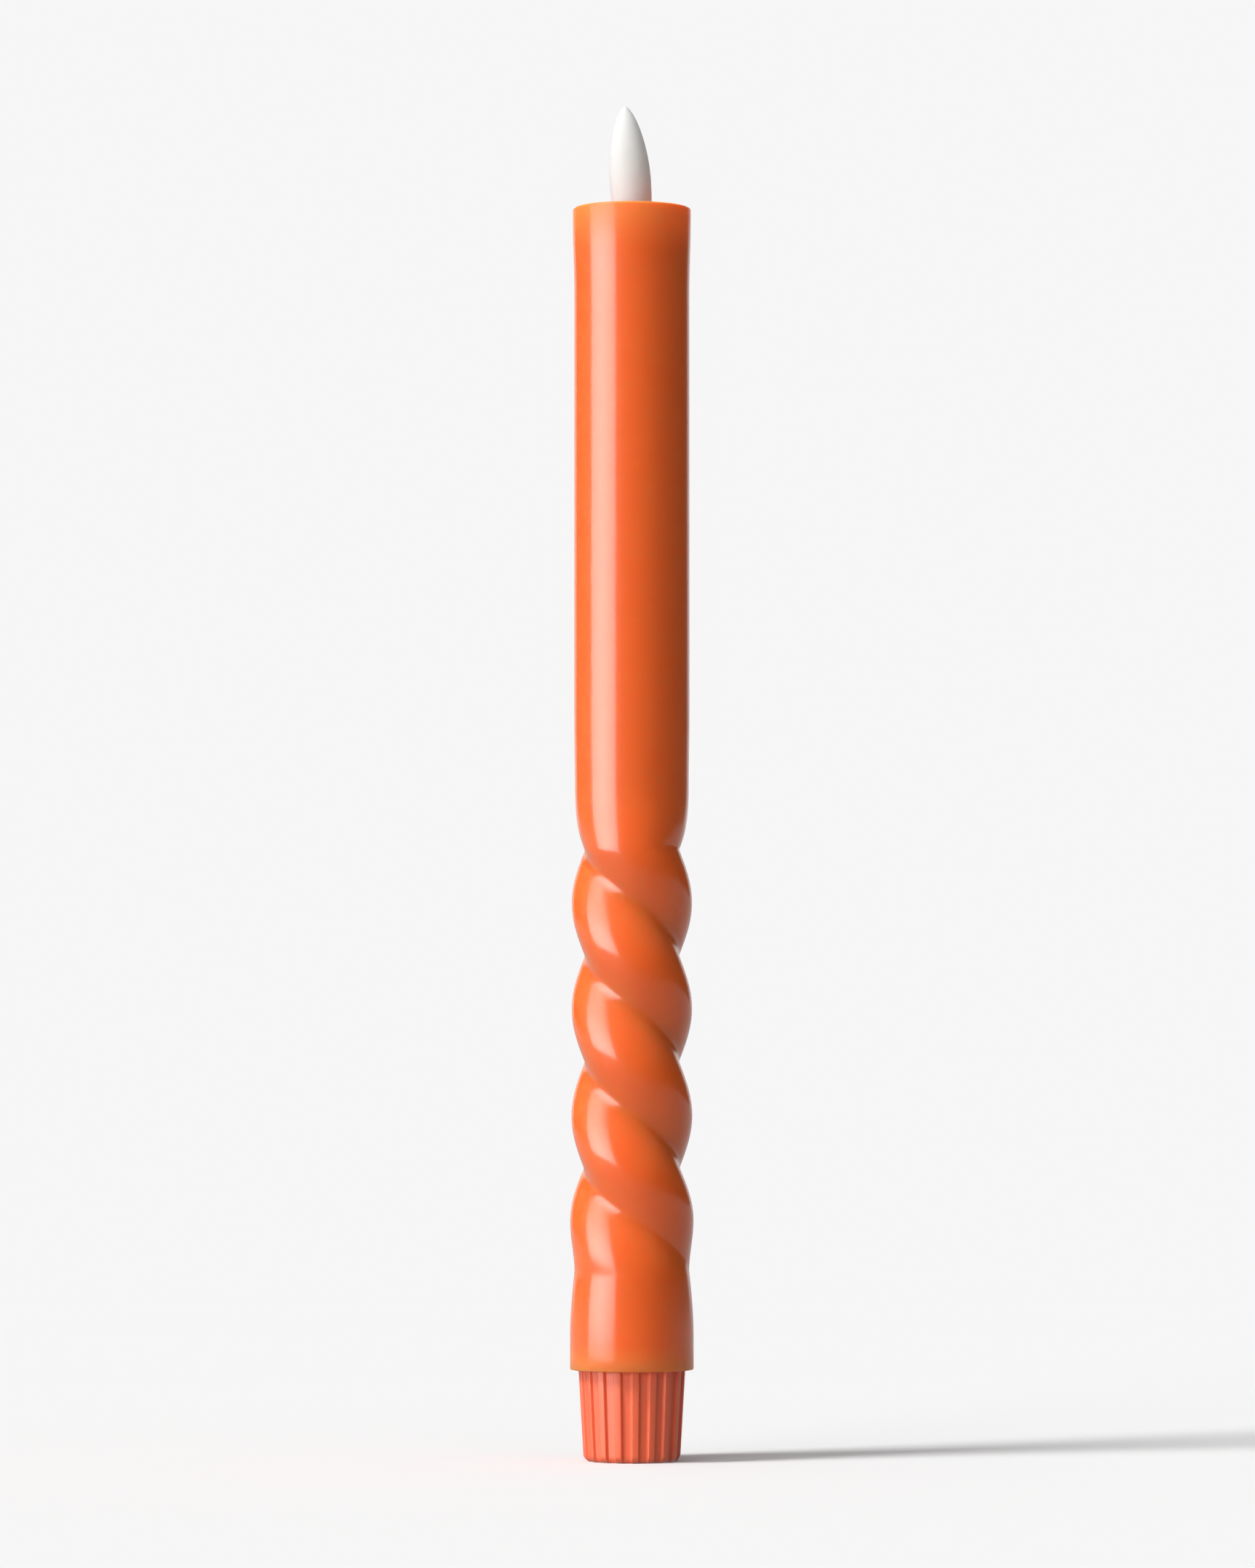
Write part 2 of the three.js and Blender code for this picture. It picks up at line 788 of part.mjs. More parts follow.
// The short lead from the negative strip down to the back of the board.
function stripLead() {
  const stripTop = bulkheadTop + stripRise;
  const face = boardBack + leadRadius;
  const beside = stripFront - seatGap - leadRadius;
  const pad = timerBoardFoot + capacitorRise - stripPadDrop;
  return lead(
    "strip_lead",
    [
      [0, beside, stripTop - 2.2],
      [0, beside - 0.1, stripTop],
      [0, (beside + face) / 2 + 0.8, pad - 0.2],
      [0, face, pad - 1.4],
      [0, face, pad],
    ],
    blackPvc,
  );
}

// Wax sleeve

// How far the section is twisted strands: 0 is round, 1 is the full two-strand section.
function twistShare(height) {
  const runOut = THREE.MathUtils.clamp((height - twistHigh) / twistFadeOut, 0, 1);
  return smooth(fadeStart, twistLow, height) * (1 - runOut) ** 2;
}

// The direction that a groove faces at a height. It winds down to the right across the front, and no longer turns
// where the grooves run out.
function grooveAngle(height) {
  const held = THREE.MathUtils.clamp(height, lowestGroove, twistHigh);
  return -Math.PI / 2 - (Math.PI * (held - waxFoot - frontGroove)) / grooveSpacing;
}

// Two round strands side by side, as a share of the radius over them. The turn starts at a groove, and the wax fills
// the crease between the strands up to a flat.
function strandShare(turn) {
  const strandRadius = twistRadius - strandOffset;
  const across = Math.abs(Math.cos(turn));
  const along = Math.abs(Math.sin(turn));
  if (along * strandRadius < across * strandOffset) {
    return strandRadius / across / twistRadius;
  }
  return (strandOffset * along + Math.sqrt(strandRadius ** 2 - (strandOffset * across) ** 2)) / twistRadius;
}

// The radius over everything: collar, strands, neck, straight taper and flared rim.
function outerRadius(height) {
  const blend = (radius, nextRadius, start, length) =>
    THREE.MathUtils.lerp(radius, nextRadius, smooth(start, start + length, height));
  const strands = blend(collarRadius, twistRadius, twistLow - collarTaperLead, collarTaper);
  const neck = blend(strands, neckRadius, twistHigh, neckTaper);
  const straight = blend(neck, straightRadius, fadeEnd, straightTaper);
  return blend(straight, rimRadius, waxTop - rimLength - rimFlare, rimFlare);
}

function waxRing(height, drawnIn = 0) {
  const groove = grooveAngle(height);
  const share = twistShare(height);
  const points = [];
  for (let k = 0; k < waxSteps; k++) {
    const turn = (k / waxSteps) * TURN;
    const radius = outerRadius(height) * THREE.MathUtils.lerp(1, strandShare(turn), share);
    points.push(onCircle(radius - drawnIn, groove + turn, height));
  }
  return points;
}

function waxBlank() {
  const twistSteps = Math.ceil((fadeEnd - fadeStart) / twistStep);
  const rings = [waxRing(waxFoot, edgeRound / 2), waxRing(waxFoot + edgeRound / 2)];
  for (let i = 0; i <= twistSteps; i++) {
    rings.push(waxRing(THREE.MathUtils.lerp(fadeStart, fadeEnd, i / twistSteps)));
  }
  const flareStart = waxTop - rimLength - rimFlare;
  rings.push(waxRing(fadeEnd + straightTaper / 2), waxRing(fadeEnd + straightTaper));
  rings.push(waxRing(flareStart), waxRing(flareStart + rimFlare / 2), waxRing(flareStart + rimFlare));
  for (const [inwards, up] of quarterTurn(cornerSteps).reverse()) {
    rings.push(waxRing(waxTop - edgeRound * up, edgeRound * inwards));
  }
  return lofted(rings);
}

function meltPool() {
  const fillet = quarterTurn(cornerSteps).map(([inwards, up]) => [
    dishRadius - dishFillet * inwards,
    dishBottom + dishFillet * up,
  ]);
  return turned([[0, dishBottom], ...fillet, [dishRadius, waxTop + 1], [0, waxTop + 1]]);
}

function waxSleeve() {
  const skirtBore = capRimRadius + runningGap;
  const skirtTop = capHeight + runningGap;
  const bore = turned([
    [0, waxFoot - 1],
    [skirtBore, waxFoot - 1],
    [skirtBore, skirtTop],
    [waxBore, skirtTop],
    [waxBore, waxBoreTop],
    [0, waxBoreTop],
  ]);
  const flameHole = disc(flameStemRadius + flameHoleGap, waxBoreTop - 1, dishBottom + 1);
  return mesh("wax_sleeve", cut(waxBlank(), bore, flameHole, meltPool()), orangeWax);
}

// Assembly

const candle = new THREE.Group();
candle.add(
  waxSleeve(),
  coreTube(),
  bulkhead(),
  topContact(),
  negativeStrip(),
  timerBoard(),
  timerChip(),
  timerCrystal(),
  boardCapacitor(),
  boardResistor("board_resistor_lower", lowerResistorRise),
  boardResistor("board_resistor_upper", upperResistorRise),
  stripLead(),
  ledLead("led_lead_red", 1, redPvc),
  ledLead("led_lead_black", -1, blackPvc),
  led(),
  ledLeg("led_leg_anode", 1),
  ledLeg("led_leg_cathode", -1),
  flameHolder(),
  flame(),
);

const cells = new THREE.Group();
cells.add(cell("cell_lower", cellFoot), cell("cell_upper", cellFoot + cellLength));

const cap = new THREE.Group();
cap.add(
  baseCap(),
  contactSpring(),
  contactRing(),
  switchBoard(),
  ...screwPlaces.map(boardScrew),
  switchBody(),
  switchKnob(),
);

const model = new THREE.Group();
model.add(candle, cells, cap);

export default model;
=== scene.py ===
import math

import bmesh
import bpy
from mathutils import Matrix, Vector


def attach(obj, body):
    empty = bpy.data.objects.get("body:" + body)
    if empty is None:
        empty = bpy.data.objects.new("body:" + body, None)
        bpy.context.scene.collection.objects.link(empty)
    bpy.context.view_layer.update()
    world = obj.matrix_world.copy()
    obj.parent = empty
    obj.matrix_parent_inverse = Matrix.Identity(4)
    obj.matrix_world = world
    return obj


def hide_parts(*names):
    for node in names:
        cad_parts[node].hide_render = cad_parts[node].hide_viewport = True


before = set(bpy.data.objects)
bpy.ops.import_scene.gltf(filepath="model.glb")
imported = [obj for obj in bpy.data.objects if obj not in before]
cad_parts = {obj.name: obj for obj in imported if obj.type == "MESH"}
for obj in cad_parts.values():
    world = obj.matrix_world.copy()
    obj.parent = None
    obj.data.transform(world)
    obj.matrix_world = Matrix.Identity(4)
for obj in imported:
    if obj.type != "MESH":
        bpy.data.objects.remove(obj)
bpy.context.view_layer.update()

mm = 0.001


# Plastic tube. The real one is moulded in white plastic, with a keyway up the inside of its back for the
# negative strip. The wax is cast round it, and a turn and a half of raised thread at its foot holds the cap.

def linear(hex_code):
    parts = [int(hex_code[i:i + 2], 16) / 255 for i in (0, 2, 4)]
    return tuple(p / 12.92 if p <= 0.04045 else ((p + 0.055) / 1.055) ** 2.4 for p in parts) + (1,)


def node(tree, kind, inputs=None, **settings):
    """Adds a node with its settings. An input's value is a plain value or another node's output."""
    made = tree.nodes.new(kind)
    for name, value in settings.items():
        setattr(made, name, value)
    for name, value in (inputs or {}).items():
        if isinstance(value, bpy.types.NodeSocket):
            tree.links.new(value, made.inputs[name])
        else:
            made.inputs[name].default_value = value
    return made


def new_material(name):
    made = bpy.data.materials.new(name)
    made.use_nodes = True
    made.node_tree.nodes.clear()
    return made, made.node_tree


def only(piece):
    """Selects one piece and nothing else."""
    bpy.ops.object.select_all(action="DESELECT")
    piece.select_set(True)
    bpy.context.view_layer.objects.active = piece


def line_through(name, points):
    """Draws a line from point to point, in mm, and stays in edit mode."""
    bpy.ops.object.select_all(action="DESELECT")
    bpy.ops.mesh.primitive_plane_add(size=mm)
    piece = bpy.context.object
    piece.name = name
    bpy.ops.object.mode_set(mode="EDIT")
    bpy.ops.mesh.merge(type="CENTER")
    at = (0, 0, 0)
    for i, point in enumerate(points):
        step = [(new - old) * mm for new, old in zip(point, at)]
        if i == 0:
            bpy.ops.transform.translate(value=step)
        else:
            bpy.ops.mesh.extrude_vertices_move(TRANSFORM_OT_translate={"value": step})
        at = point
    return piece


def closed_up():
    """In edit mode, merges points that fall together and turns the faces outwards. Then leaves that mode."""
    bpy.ops.mesh.select_all(action="SELECT")
    bpy.ops.mesh.remove_doubles(threshold=0.002 * mm)
    bpy.ops.mesh.normals_make_consistent(inside=False)
    bpy.ops.object.mode_set(mode="OBJECT")


def turned(name, profile, steps, foot=0):
    """Draws an outline of (radius, height over the foot) points, in mm, and spins it about the Z axis."""
    piece = line_through(name, [(radius, 0, foot + height) for radius, height in profile])
    bpy.ops.mesh.select_all(action="SELECT")
    bpy.ops.mesh.spin(steps=steps, angle=math.tau, center=(0, 0, 0), axis=(0, 0, 1))
    closed_up()
    return piece


def box(name, low, high, edge=0):
    """A block between two corners, in mm, with its edges rounded."""
    bpy.ops.object.select_all(action="DESELECT")
    middle = [(a + b) / 2 * mm for a, b in zip(low, high)]
    bpy.ops.mesh.primitive_cube_add(size=1, location=middle, scale=[(b - a) * mm for a, b in zip(low, high)])
    piece = bpy.context.object
    piece.name = name
    bpy.ops.object.transform_apply(location=True, scale=True)
    if edge:
        bpy.ops.object.mode_set(mode="EDIT")
        bpy.ops.mesh.bevel(offset=edge * mm, segments=2, affect="EDGES")
        bpy.ops.object.mode_set(mode="OBJECT")
    return piece


def moved(piece, x, y, z=0):
    only(piece)
    bpy.ops.transform.translate(value=(x * mm, y * mm, z * mm))
    bpy.ops.object.transform_apply(location=True)
    return piece


def combine(piece, *tools, operation="DIFFERENCE"):
    """Cuts tools out of a piece, or melts them on, and throws them away."""
    for tool in tools:
        only(piece)
        change = piece.modifiers.new("combine", "BOOLEAN")
        change.object, change.operation, change.solver = tool, operation, "EXACT"
        bpy.ops.object.modifier_apply(modifier=change.name)
        bpy.data.objects.remove(tool)
    return piece


def done(piece, body, material, slot_name, *nodes, angle=35):
    """Smooths a finished piece, gives it its material and stands it in for its CAD nodes."""
    only(piece)
    bpy.ops.object.shade_smooth_by_angle(angle=math.radians(angle))
    piece.data.materials.clear()
    piece.data.materials.append(material)
    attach(piece, body)
    if nodes:
        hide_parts(*nodes)
    return piece


thread_pitch, thread_turns = 3, 1.5


def thread(name, root, crest, foot):
    """A raised thread between two radii that winds up to the right. It sinks into the wall at both ends."""
    root_half, crest_half = 0.75, 0.25
    bpy.ops.object.select_all(action="DESELECT")
    bpy.ops.mesh.primitive_plane_add(size=mm)
    ridge = bpy.context.object
    ridge.name = name
    corners = [(root, -root_half), (crest, -crest_half), (root, root_half), (crest, crest_half)]
    for vertex, (radius, height) in zip(ridge.data.vertices, corners):
        vertex.co = (radius * mm, 0, (foot + height) * mm)
    wind = ridge.modifiers.new("wind", "SCREW")
    wind.angle, wind.screw_offset = thread_turns * math.tau, thread_turns * thread_pitch * mm
    wind.steps = wind.render_steps = int(72 * thread_turns)
    bpy.ops.object.modifier_apply(modifier=wind.name)
    for vertex in ridge.data.vertices:
        x, y, height = vertex.co / mm
        radius, angle = math.hypot(x, y), math.atan2(y, x) / math.tau
        turn = angle + round((height - foot) / thread_pitch - angle)
        # It rises to its full depth in a tenth of a turn.
        rise = min(1, max(0, turn) * 10, max(0, thread_turns - turn) * 10)
        radius = root + (radius - root) * (0.1 + 0.9 * rise)
        vertex.co.x = radius * math.cos(angle * math.tau) * mm
        vertex.co.y = radius * math.sin(angle * math.tau) * mm
    bpy.ops.object.mode_set(mode="EDIT")
    bpy.ops.mesh.select_all(action="SELECT")
    bpy.ops.mesh.remove_doubles(threshold=0.002 * mm)
    bpy.ops.mesh.fill_holes(sides=0)
    closed_up()
    return ridge


tube_foot, tube_top, tube_radius, ledge, keyway_half = 8.1, 223.2, 6.95, 101.65, 1.4
tube = turned("core_tube_moulding", [
    (5.6, tube_foot + 0.2), (5.8, tube_foot), (6.75, tube_foot), (tube_radius, tube_foot + 0.2),
    (tube_radius, tube_top - 0.15), (6.8, tube_top), (6.25, tube_top), (6.1, tube_top - 0.15), (6.1, ledge),
    (5.6, ledge), (5.6, tube_foot + 0.2),
], 96)
combine(tube, box("keyway", (-keyway_half, 0, tube_foot - 1), (keyway_half, 6.125, ledge + 1)))
combine(tube, thread("tube_thread", root=6.6, crest=7.5, foot=10), operation="UNION")


def plain_finish(name, tints, grain, shader, mottle=None, along=1, gloss=None, relief=None):
    """One stuff all over. Grain and mottle are noises, each a size in mm and a detail, and along, where it is
    under 1, draws the grain out upwards. The mottle, or else the grain, mixes the two tints. The grain moves
    the gloss, and lifts the skin by a strength and a depth in mm. A real grain of a few hundredths of a mm
    doesn't show, so it is drawn several times as coarse."""
    made, tree = new_material(name)
    at = node(tree, "ShaderNodeTexCoord").outputs["Object"]
    laid = node(tree, "ShaderNodeMapping", {"Vector": at, "Scale": (1, 1, along)}).outputs["Vector"]
    fine = broad = node(tree, "ShaderNodeTexNoise", {
        "Vector": laid, "Scale": 1 / (grain[0] * mm), "Detail": grain[1]}).outputs["Fac"]
    if mottle:
        broad = node(tree, "ShaderNodeTexNoise", {
            "Vector": at, "Scale": 1 / (mottle[0] * mm), "Detail": mottle[1]}).outputs["Fac"]
    tint = node(tree, "ShaderNodeMix", {0: broad, 6: linear(tints[0]), 7: linear(tints[1])}, data_type="RGBA")
    shader = {**shader, "Base Color": tint.outputs[2]}
    if gloss:
        rough = node(tree, "ShaderNodeMapRange", {"Value": fine, "To Min": gloss[0], "To Max": gloss[1]})
        shader["Roughness"] = rough.outputs["Result"]
    if relief:
        skin = node(tree, "ShaderNodeBump", {
            "Height": fine, "Strength": relief[0], "Distance": relief[1] * mm})
        shader["Normal"] = skin.outputs["Normal"]
    look = node(tree, "ShaderNodeBsdfPrincipled", shader)
    node(tree, "ShaderNodeOutputMaterial", {"Surface": look.outputs["BSDF"]})
    return made


# White ABS, moulded in a lightly sparked tool: satin, with no grain that the eye can follow.
white_plastic = plain_finish("moulded white ABS", ("EDEBE4", "F1EFE9"), grain=(0.25, 2), mottle=(8.33, 2),
                             gloss=(0.4, 0.5), relief=(0.15, 0.02), shader={"IOR": 1.53})
done(tube, "candle", white_plastic, "white_plastic", "core_tube", angle=30)


# Bulkhead. The real one is a moulded disc glued on the ledge in the tube, over the cells. Two clips stand
# up from it and hold the timer board's sides, and two slots let the top contact's tab and the negative
# strip through.
bulkhead_foot, bulkhead_top, tab_top = 101.8, 103.8, 107.8
bulkhead = turned("bulkhead_moulding", [
    (0, bulkhead_foot), (5.8, bulkhead_foot), (5.95, bulkhead_foot + 0.15), (5.95, bulkhead_top - 0.15),
    (5.8, bulkhead_top), (0, bulkhead_top),
], 72)
for side in (-1, 1):
    clip = box("clip", (side * 4 - 1, -1.4, bulkhead_foot + 0.5), (side * 4 + 1, 1.4, bulkhead_top + 5), 0.2)
    combine(bulkhead, clip, operation="UNION")
combine(bulkhead,
        box("board_slot", (-4.15, -0.65, bulkhead_top), (4.15, 0.65, 120)),
        box("strip_slot", (-keyway_half, 5.525, 100), (keyway_half, 6.5, 105)),
        box("tab_slot", (-1.15, -1.1, 100), (1.15, -0.5, tab_top)))
done(bulkhead, "candle", white_plastic, "white_plastic", "bulkhead")


# Contacts in the tube. Both are pressed from nickel-plated steel sheet: a round plate with a dimple for the
# upper cell's nub and a tab to the board, and a long strip in the keyway that brings the current back up
# from the cap.
contact_foot, sheet = 101.2, 0.3
top_contact = turned("top_contact_pressing", [
    (0, -0.5), (0.8, -0.5), (0.95, -0.42), (1.25, -0.06), (1.4, 0), (4.3, 0), (4.4, 0.08), (4.4, 0.22),
    (4.3, sheet), (1.25, sheet), (1.1, 0.22), (0.8, -0.12), (0.65, -0.2), (0, -0.2),
], 64, contact_foot)
tab = box("tab", (-1, -0.95, contact_foot + 0.05), (1, -0.65, tab_top), 0.05)
combine(top_contact, tab, operation="UNION")

# Nickel-plated steel sheet, rolled: bright, with faint draw lines along the strip.
nickel = plain_finish("rolled nickel-plated steel", ("B9B5AA", "C6C3B9"), grain=(0.167, 3), mottle=(3.33, 2),
                      along=0.04, gloss=(0.2, 0.36), relief=(0.1, 0.01), shader={"Metallic": 1})
done(top_contact, "candle", nickel, "nickel", "top_contact")

strip_foot, strip_top, strip_half, strip_front = 7.65, 108.8, 1.25, 5.675
strip = box("negative_strip_pressing", (-strip_half, strip_front, strip_foot),
            (strip_half, strip_front + sheet, strip_top), 0.06)
fold = box("strip_fold", (-strip_half, strip_front, strip_foot), (strip_half, 6.8, strip_foot + sheet), 0.06)
combine(strip, fold, operation="UNION")
done(strip, "candle", nickel, "nickel", "negative_strip")


# Timer board. The real one is a glass-fibre board with the timer chip, its crystal, a capacitor and two
# resistors soldered on. It stands in the bulkhead's clips, and solder blobs hold the tab and the leads.
board_foot, board_top, board_face = 103.95, 137.95, 0.5
board = box("timer_board_panel", (-4, -board_face, board_foot), (4, board_face, board_top), 0.08)

# Green solder mask over copper on glass fibre: glossy, with the copper just raised and paler than its gaps.
board_green, tree = new_material("solder-masked glass-fibre board")
at = node(tree, "ShaderNodeTexCoord").outputs["Object"]
place = node(tree, "ShaderNodeSeparateXYZ", {0: at})
laid_out = node(tree, "ShaderNodeCombineXYZ", {"X": place.outputs["Z"], "Y": place.outputs["X"]})
copper = node(tree, "ShaderNodeTexBrick", {
    "Vector": laid_out.outputs["Vector"], "Color1": (1, 1, 1, 1), "Color2": (1, 1, 1, 1),
    "Mortar": (0, 0, 0, 1), "Scale": 1 / mm, "Mortar Size": 0.14, "Mortar Smooth": 0.3, "Brick Width": 7.3,
    "Row Height": 0.9}, offset=0.37, squash=0.6, squash_frequency=3)
gaps = copper.outputs["Fac"]
tint = node(tree, "ShaderNodeMix", {0: gaps, 6: linear("2C7048"), 7: linear("1B4D31")}, data_type="RGBA")
skin = node(tree, "ShaderNodeBump", {"Height": gaps, "Strength": 0.5, "Distance": 0.04 * mm}, invert=True)
look = node(tree, "ShaderNodeBsdfPrincipled", {
    "Base Color": tint.outputs[2], "Roughness": 0.32, "IOR": 1.52, "Normal": skin.outputs["Normal"]})
node(tree, "ShaderNodeOutputMaterial", {"Surface": look.outputs["BSDF"]})
done(board, "candle", board_green, "board", "timer_board")

chip_middle, chip_face, chip_depth = board_foot + 13, -0.75, 1.5
chip_half_width, chip_half_length = 1.95, 2.45
chip = box("timer_chip_body", (-chip_half_width, chip_face - chip_depth, chip_middle - chip_half_length),
           (chip_half_width, chip_face, chip_middle + chip_half_length), 0.12)
first_pin = turned("first_pin_mark", [(0, -1), (0.3, -1), (0.3, 1), (0, 1)], 24)
bpy.ops.object.mode_set(mode="EDIT")
bpy.ops.mesh.select_all(action="SELECT")
bpy.ops.transform.rotate(value=math.pi / 2, orient_axis="X", center_override=(0, 0, 0))
bpy.ops.object.mode_set(mode="OBJECT")
combine(chip, moved(first_pin, -1.3, chip_face - 2.4, chip_middle + 1.8))

# Black epoxy, moulded: matt and faintly grained. The ABS of the switch's knob shares its black.
black_plastic = plain_finish("moulded black epoxy", ("19191B", "222225"), grain=(0.2, 2), gloss=(0.45, 0.6),
                             relief=(0.2, 0.02), shader={"IOR": 1.5})
done(chip, "candle", black_plastic, "black_plastic", "timer_chip")


def joined(name, pieces):
    """Makes one mesh of several that lie side by side."""
    bpy.ops.object.select_all(action="DESELECT")
    for piece in pieces:
        piece.select_set(True)
    bpy.context.view_layer.objects.active = pieces[0]
    bpy.ops.object.join()
    bpy.context.object.name = name
    return bpy.context.object


def bent_strip(name, points, low, high, thickness):
    """A strip of sheet: its bends are (x, y) points in mm, and it stands from low to high."""
    piece = line_through(name, [(x, y, low) for x, y in points])
    bpy.ops.mesh.select_all(action="SELECT")
    bpy.ops.mesh.extrude_edges_move(TRANSFORM_OT_translate={"value": (0, 0, (high - low) * mm)})
    bpy.ops.object.mode_set(mode="OBJECT")
    wall = piece.modifiers.new("sheet", "SOLIDIFY")
    wall.thickness, wall.offset = thickness * mm, 0
    bpy.ops.object.modifier_apply(modifier=wall.name)
    bpy.ops.object.mode_set(mode="EDIT")
    closed_up()
    return piece


legs, leg_spacing = [], 1.27
for side in (-1, 1):
    for row in range(4):
        middle = chip_middle + (row - 1.5) * leg_spacing
        bends = [(side * 1.9, chip_face - 0.7), (side * 2.2, chip_face - 0.7), (side * 2.32, chip_face - 0.6),
                 (side * 2.36, chip_face + 0.02), (side * 2.46, chip_face + 0.12),
                 (side * 2.85, chip_face + 0.14)]
        legs.append(bent_strip("leg", bends, middle - 0.2, middle + 0.2, 0.15))
done(joined("timer_chip_legs", legs), "candle", nickel, "nickel")

# The crystal's can is drawn nickel silver with rounded ends, and its two wires bend down to the board.
crystal_foot = board_foot + 18
crystal = turned("timer_crystal_can", [
    (0, 0), (0.85, 0), (1, 0.15), (1, 5.6), (0.88, 5.88), (0.6, 6), (0, 6)], 32, crystal_foot)
done(moved(crystal, 0, -1.65), "candle", nickel, "nickel", "timer_crystal")


def wire(name, points, radius, bends="AUTO"):
    """A round wire through points in mm. Its bends are smooth, or follow the points as they are."""
    curve = bpy.data.curves.new(name, "CURVE")
    curve.dimensions, curve.resolution_u = "3D", 8
    curve.bevel_depth, curve.bevel_resolution, curve.use_fill_caps = radius * mm, 5, True
    if bends == "AUTO":
        spline = curve.splines.new("BEZIER")
        spline.bezier_points.add(len(points) - 1)
        for knot, point in zip(spline.bezier_points, points):
            knot.co = Vector(point) * mm
            knot.handle_left_type = knot.handle_right_type = "AUTO"
    else:
        spline = curve.splines.new("POLY")
        spline.points.add(len(points) - 1)
        for knot, point in zip(spline.points, points):
            knot.co = (*(Vector(point) * mm), 1)
    piece = bpy.data.objects.new(name, curve)
    bpy.context.scene.collection.objects.link(piece)
    only(piece)
    bpy.ops.object.convert(target="MESH")
    bpy.ops.object.mode_set(mode="EDIT")
    closed_up()
    return bpy.context.object


crystal_wires = [wire("crystal_wire", [
    (side * 0.35, -1.65, crystal_foot + 0.1), (side * 0.4, -1.6, crystal_foot - 0.5),
    (side * 0.6, -0.9, crystal_foot - 0.9), (side * 0.6, -0.4, crystal_foot - 0.95),
], 0.13) for side in (-1, 1)]
done(joined("crystal_wires", crystal_wires), "candle", nickel, "nickel")

# The capacitor's can wears a shrunk sleeve, rolled in over its groove, and its bare top is scored to vent.
capacitor_foot, capacitor_y = board_foot + 10, 2.65
capacitor = turned("board_capacitor_can", [
    (0, 0), (1.7, 0), (1.95, 0.1), (2, 0.3), (2, 0.85), (1.9, 0.98), (1.85, 1.1), (1.9, 1.22), (2, 1.35),
    (2, 6.7), (1.92, 6.92), (1.7, 7), (1.45, 6.96), (1.4, 6.9), (0, 6.9),
], 40, capacitor_foot)
moved(capacitor, 0, capacitor_y)
vent = capacitor_foot + 6.82
combine(capacitor,
        box("vent", (-1.1, capacitor_y - 0.06, vent), (1.1, capacitor_y + 0.06, vent + 1)),
        box("vent", (-0.06, capacitor_y - 1.1, vent), (0.06, capacitor_y + 1.1, vent + 1)))

# Shrunk PVC sleeve, dark blue with a pale stripe for the negative side, over a bare aluminium top.
sleeve, tree = new_material("shrunk sleeve over aluminium")
at = node(tree, "ShaderNodeTexCoord").outputs["Object"]
aside = node(tree, "ShaderNodeSeparateXYZ", {0: at}).outputs["X"]
off_middle = node(tree, "ShaderNodeVectorMath", {
    0: at, 1: (0, capacitor_y * mm, (capacitor_foot + 7) * mm)}, operation="SUBTRACT")
reach = node(tree, "ShaderNodeVectorMath", {0: off_middle.outputs["Vector"]}, operation="LENGTH")
stripe = node(tree, "ShaderNodeMapRange", {"Value": aside, "From Min": 1.5 * mm, "From Max": 1.55 * mm})
bare = node(tree, "ShaderNodeMapRange", {
    "Value": reach.outputs["Value"], "From Min": 1.45 * mm, "From Max": 1.5 * mm, "To Min": 1, "To Max": 0})
film = node(tree, "ShaderNodeMix", {
    0: stripe.outputs["Result"], 6: linear("25304A"), 7: linear("9FA9B8")}, data_type="RGBA")
haze = node(tree, "ShaderNodeTexNoise", {
    "Vector": at, "Scale": 1 / (0.667 * mm), "Detail": 2}).outputs["Fac"]
metal = node(tree, "ShaderNodeMix", {0: haze, 6: linear("A9ABAD"), 7: linear("BDBFC0")}, data_type="RGBA")
gloss = node(tree, "ShaderNodeMapRange", {"Value": haze, "To Min": 0.25, "To Max": 0.4}).outputs["Result"]
wrapped = node(tree, "ShaderNodeBsdfPrincipled", {
    "Base Color": film.outputs[2], "Roughness": gloss, "IOR": 1.53})
capped = node(tree, "ShaderNodeBsdfPrincipled", {
    "Base Color": metal.outputs[2], "Metallic": 1, "Roughness": gloss})
look = node(tree, "ShaderNodeMixShader", {
    0: bare.outputs["Result"], 1: wrapped.outputs[0], 2: capped.outputs[0]})
node(tree, "ShaderNodeOutputMaterial", {"Surface": look.outputs[0]})
done(capacitor, "candle", sleeve, "cell_jacket", "board_capacitor")

capacitor_wires = [wire("capacitor_wire", [
    (side * 0.5, capacitor_y, capacitor_foot + 0.2), (side * 0.5, capacitor_y - 0.1, capacitor_foot - 0.5),
    (side * 0.8, 1.4, capacitor_foot - 1.1), (side * 1.2, 0.4, capacitor_foot - 1.2),
], 0.2) for side in (-1, 1)]
done(joined("capacitor_wires", capacitor_wires), "candle", nickel, "nickel")

# Chip resistors: black glaze on white ceramic, with tinned ends.
resistor_finish, tree = new_material("glazed ceramic with tinned ends")
at = node(tree, "ShaderNodeTexCoord").outputs["Object"]
aside = node(tree, "ShaderNodeSeparateXYZ", {0: at}).outputs["X"]
from_middle = node(tree, "ShaderNodeMath", {0: aside}, operation="ABSOLUTE").outputs["Value"]
tinned = node(tree, "ShaderNodeMapRange", {
    "Value": from_middle, "From Min": 0.63 * mm, "From Max": 0.65 * mm})
haze = node(tree, "ShaderNodeTexNoise", {
    "Vector": at, "Scale": 1 / (0.333 * mm), "Detail": 2}).outputs["Fac"]
glaze = node(tree, "ShaderNodeMix", {0: haze, 6: linear("18181A"), 7: linear("232326")}, data_type="RGBA")
tin = node(tree, "ShaderNodeMix", {0: haze, 6: linear("B2B2AE"), 7: linear("C5C5C1")}, data_type="RGBA")
gloss = node(tree, "ShaderNodeMapRange", {"Value": haze, "To Min": 0.3, "To Max": 0.42}).outputs["Result"]
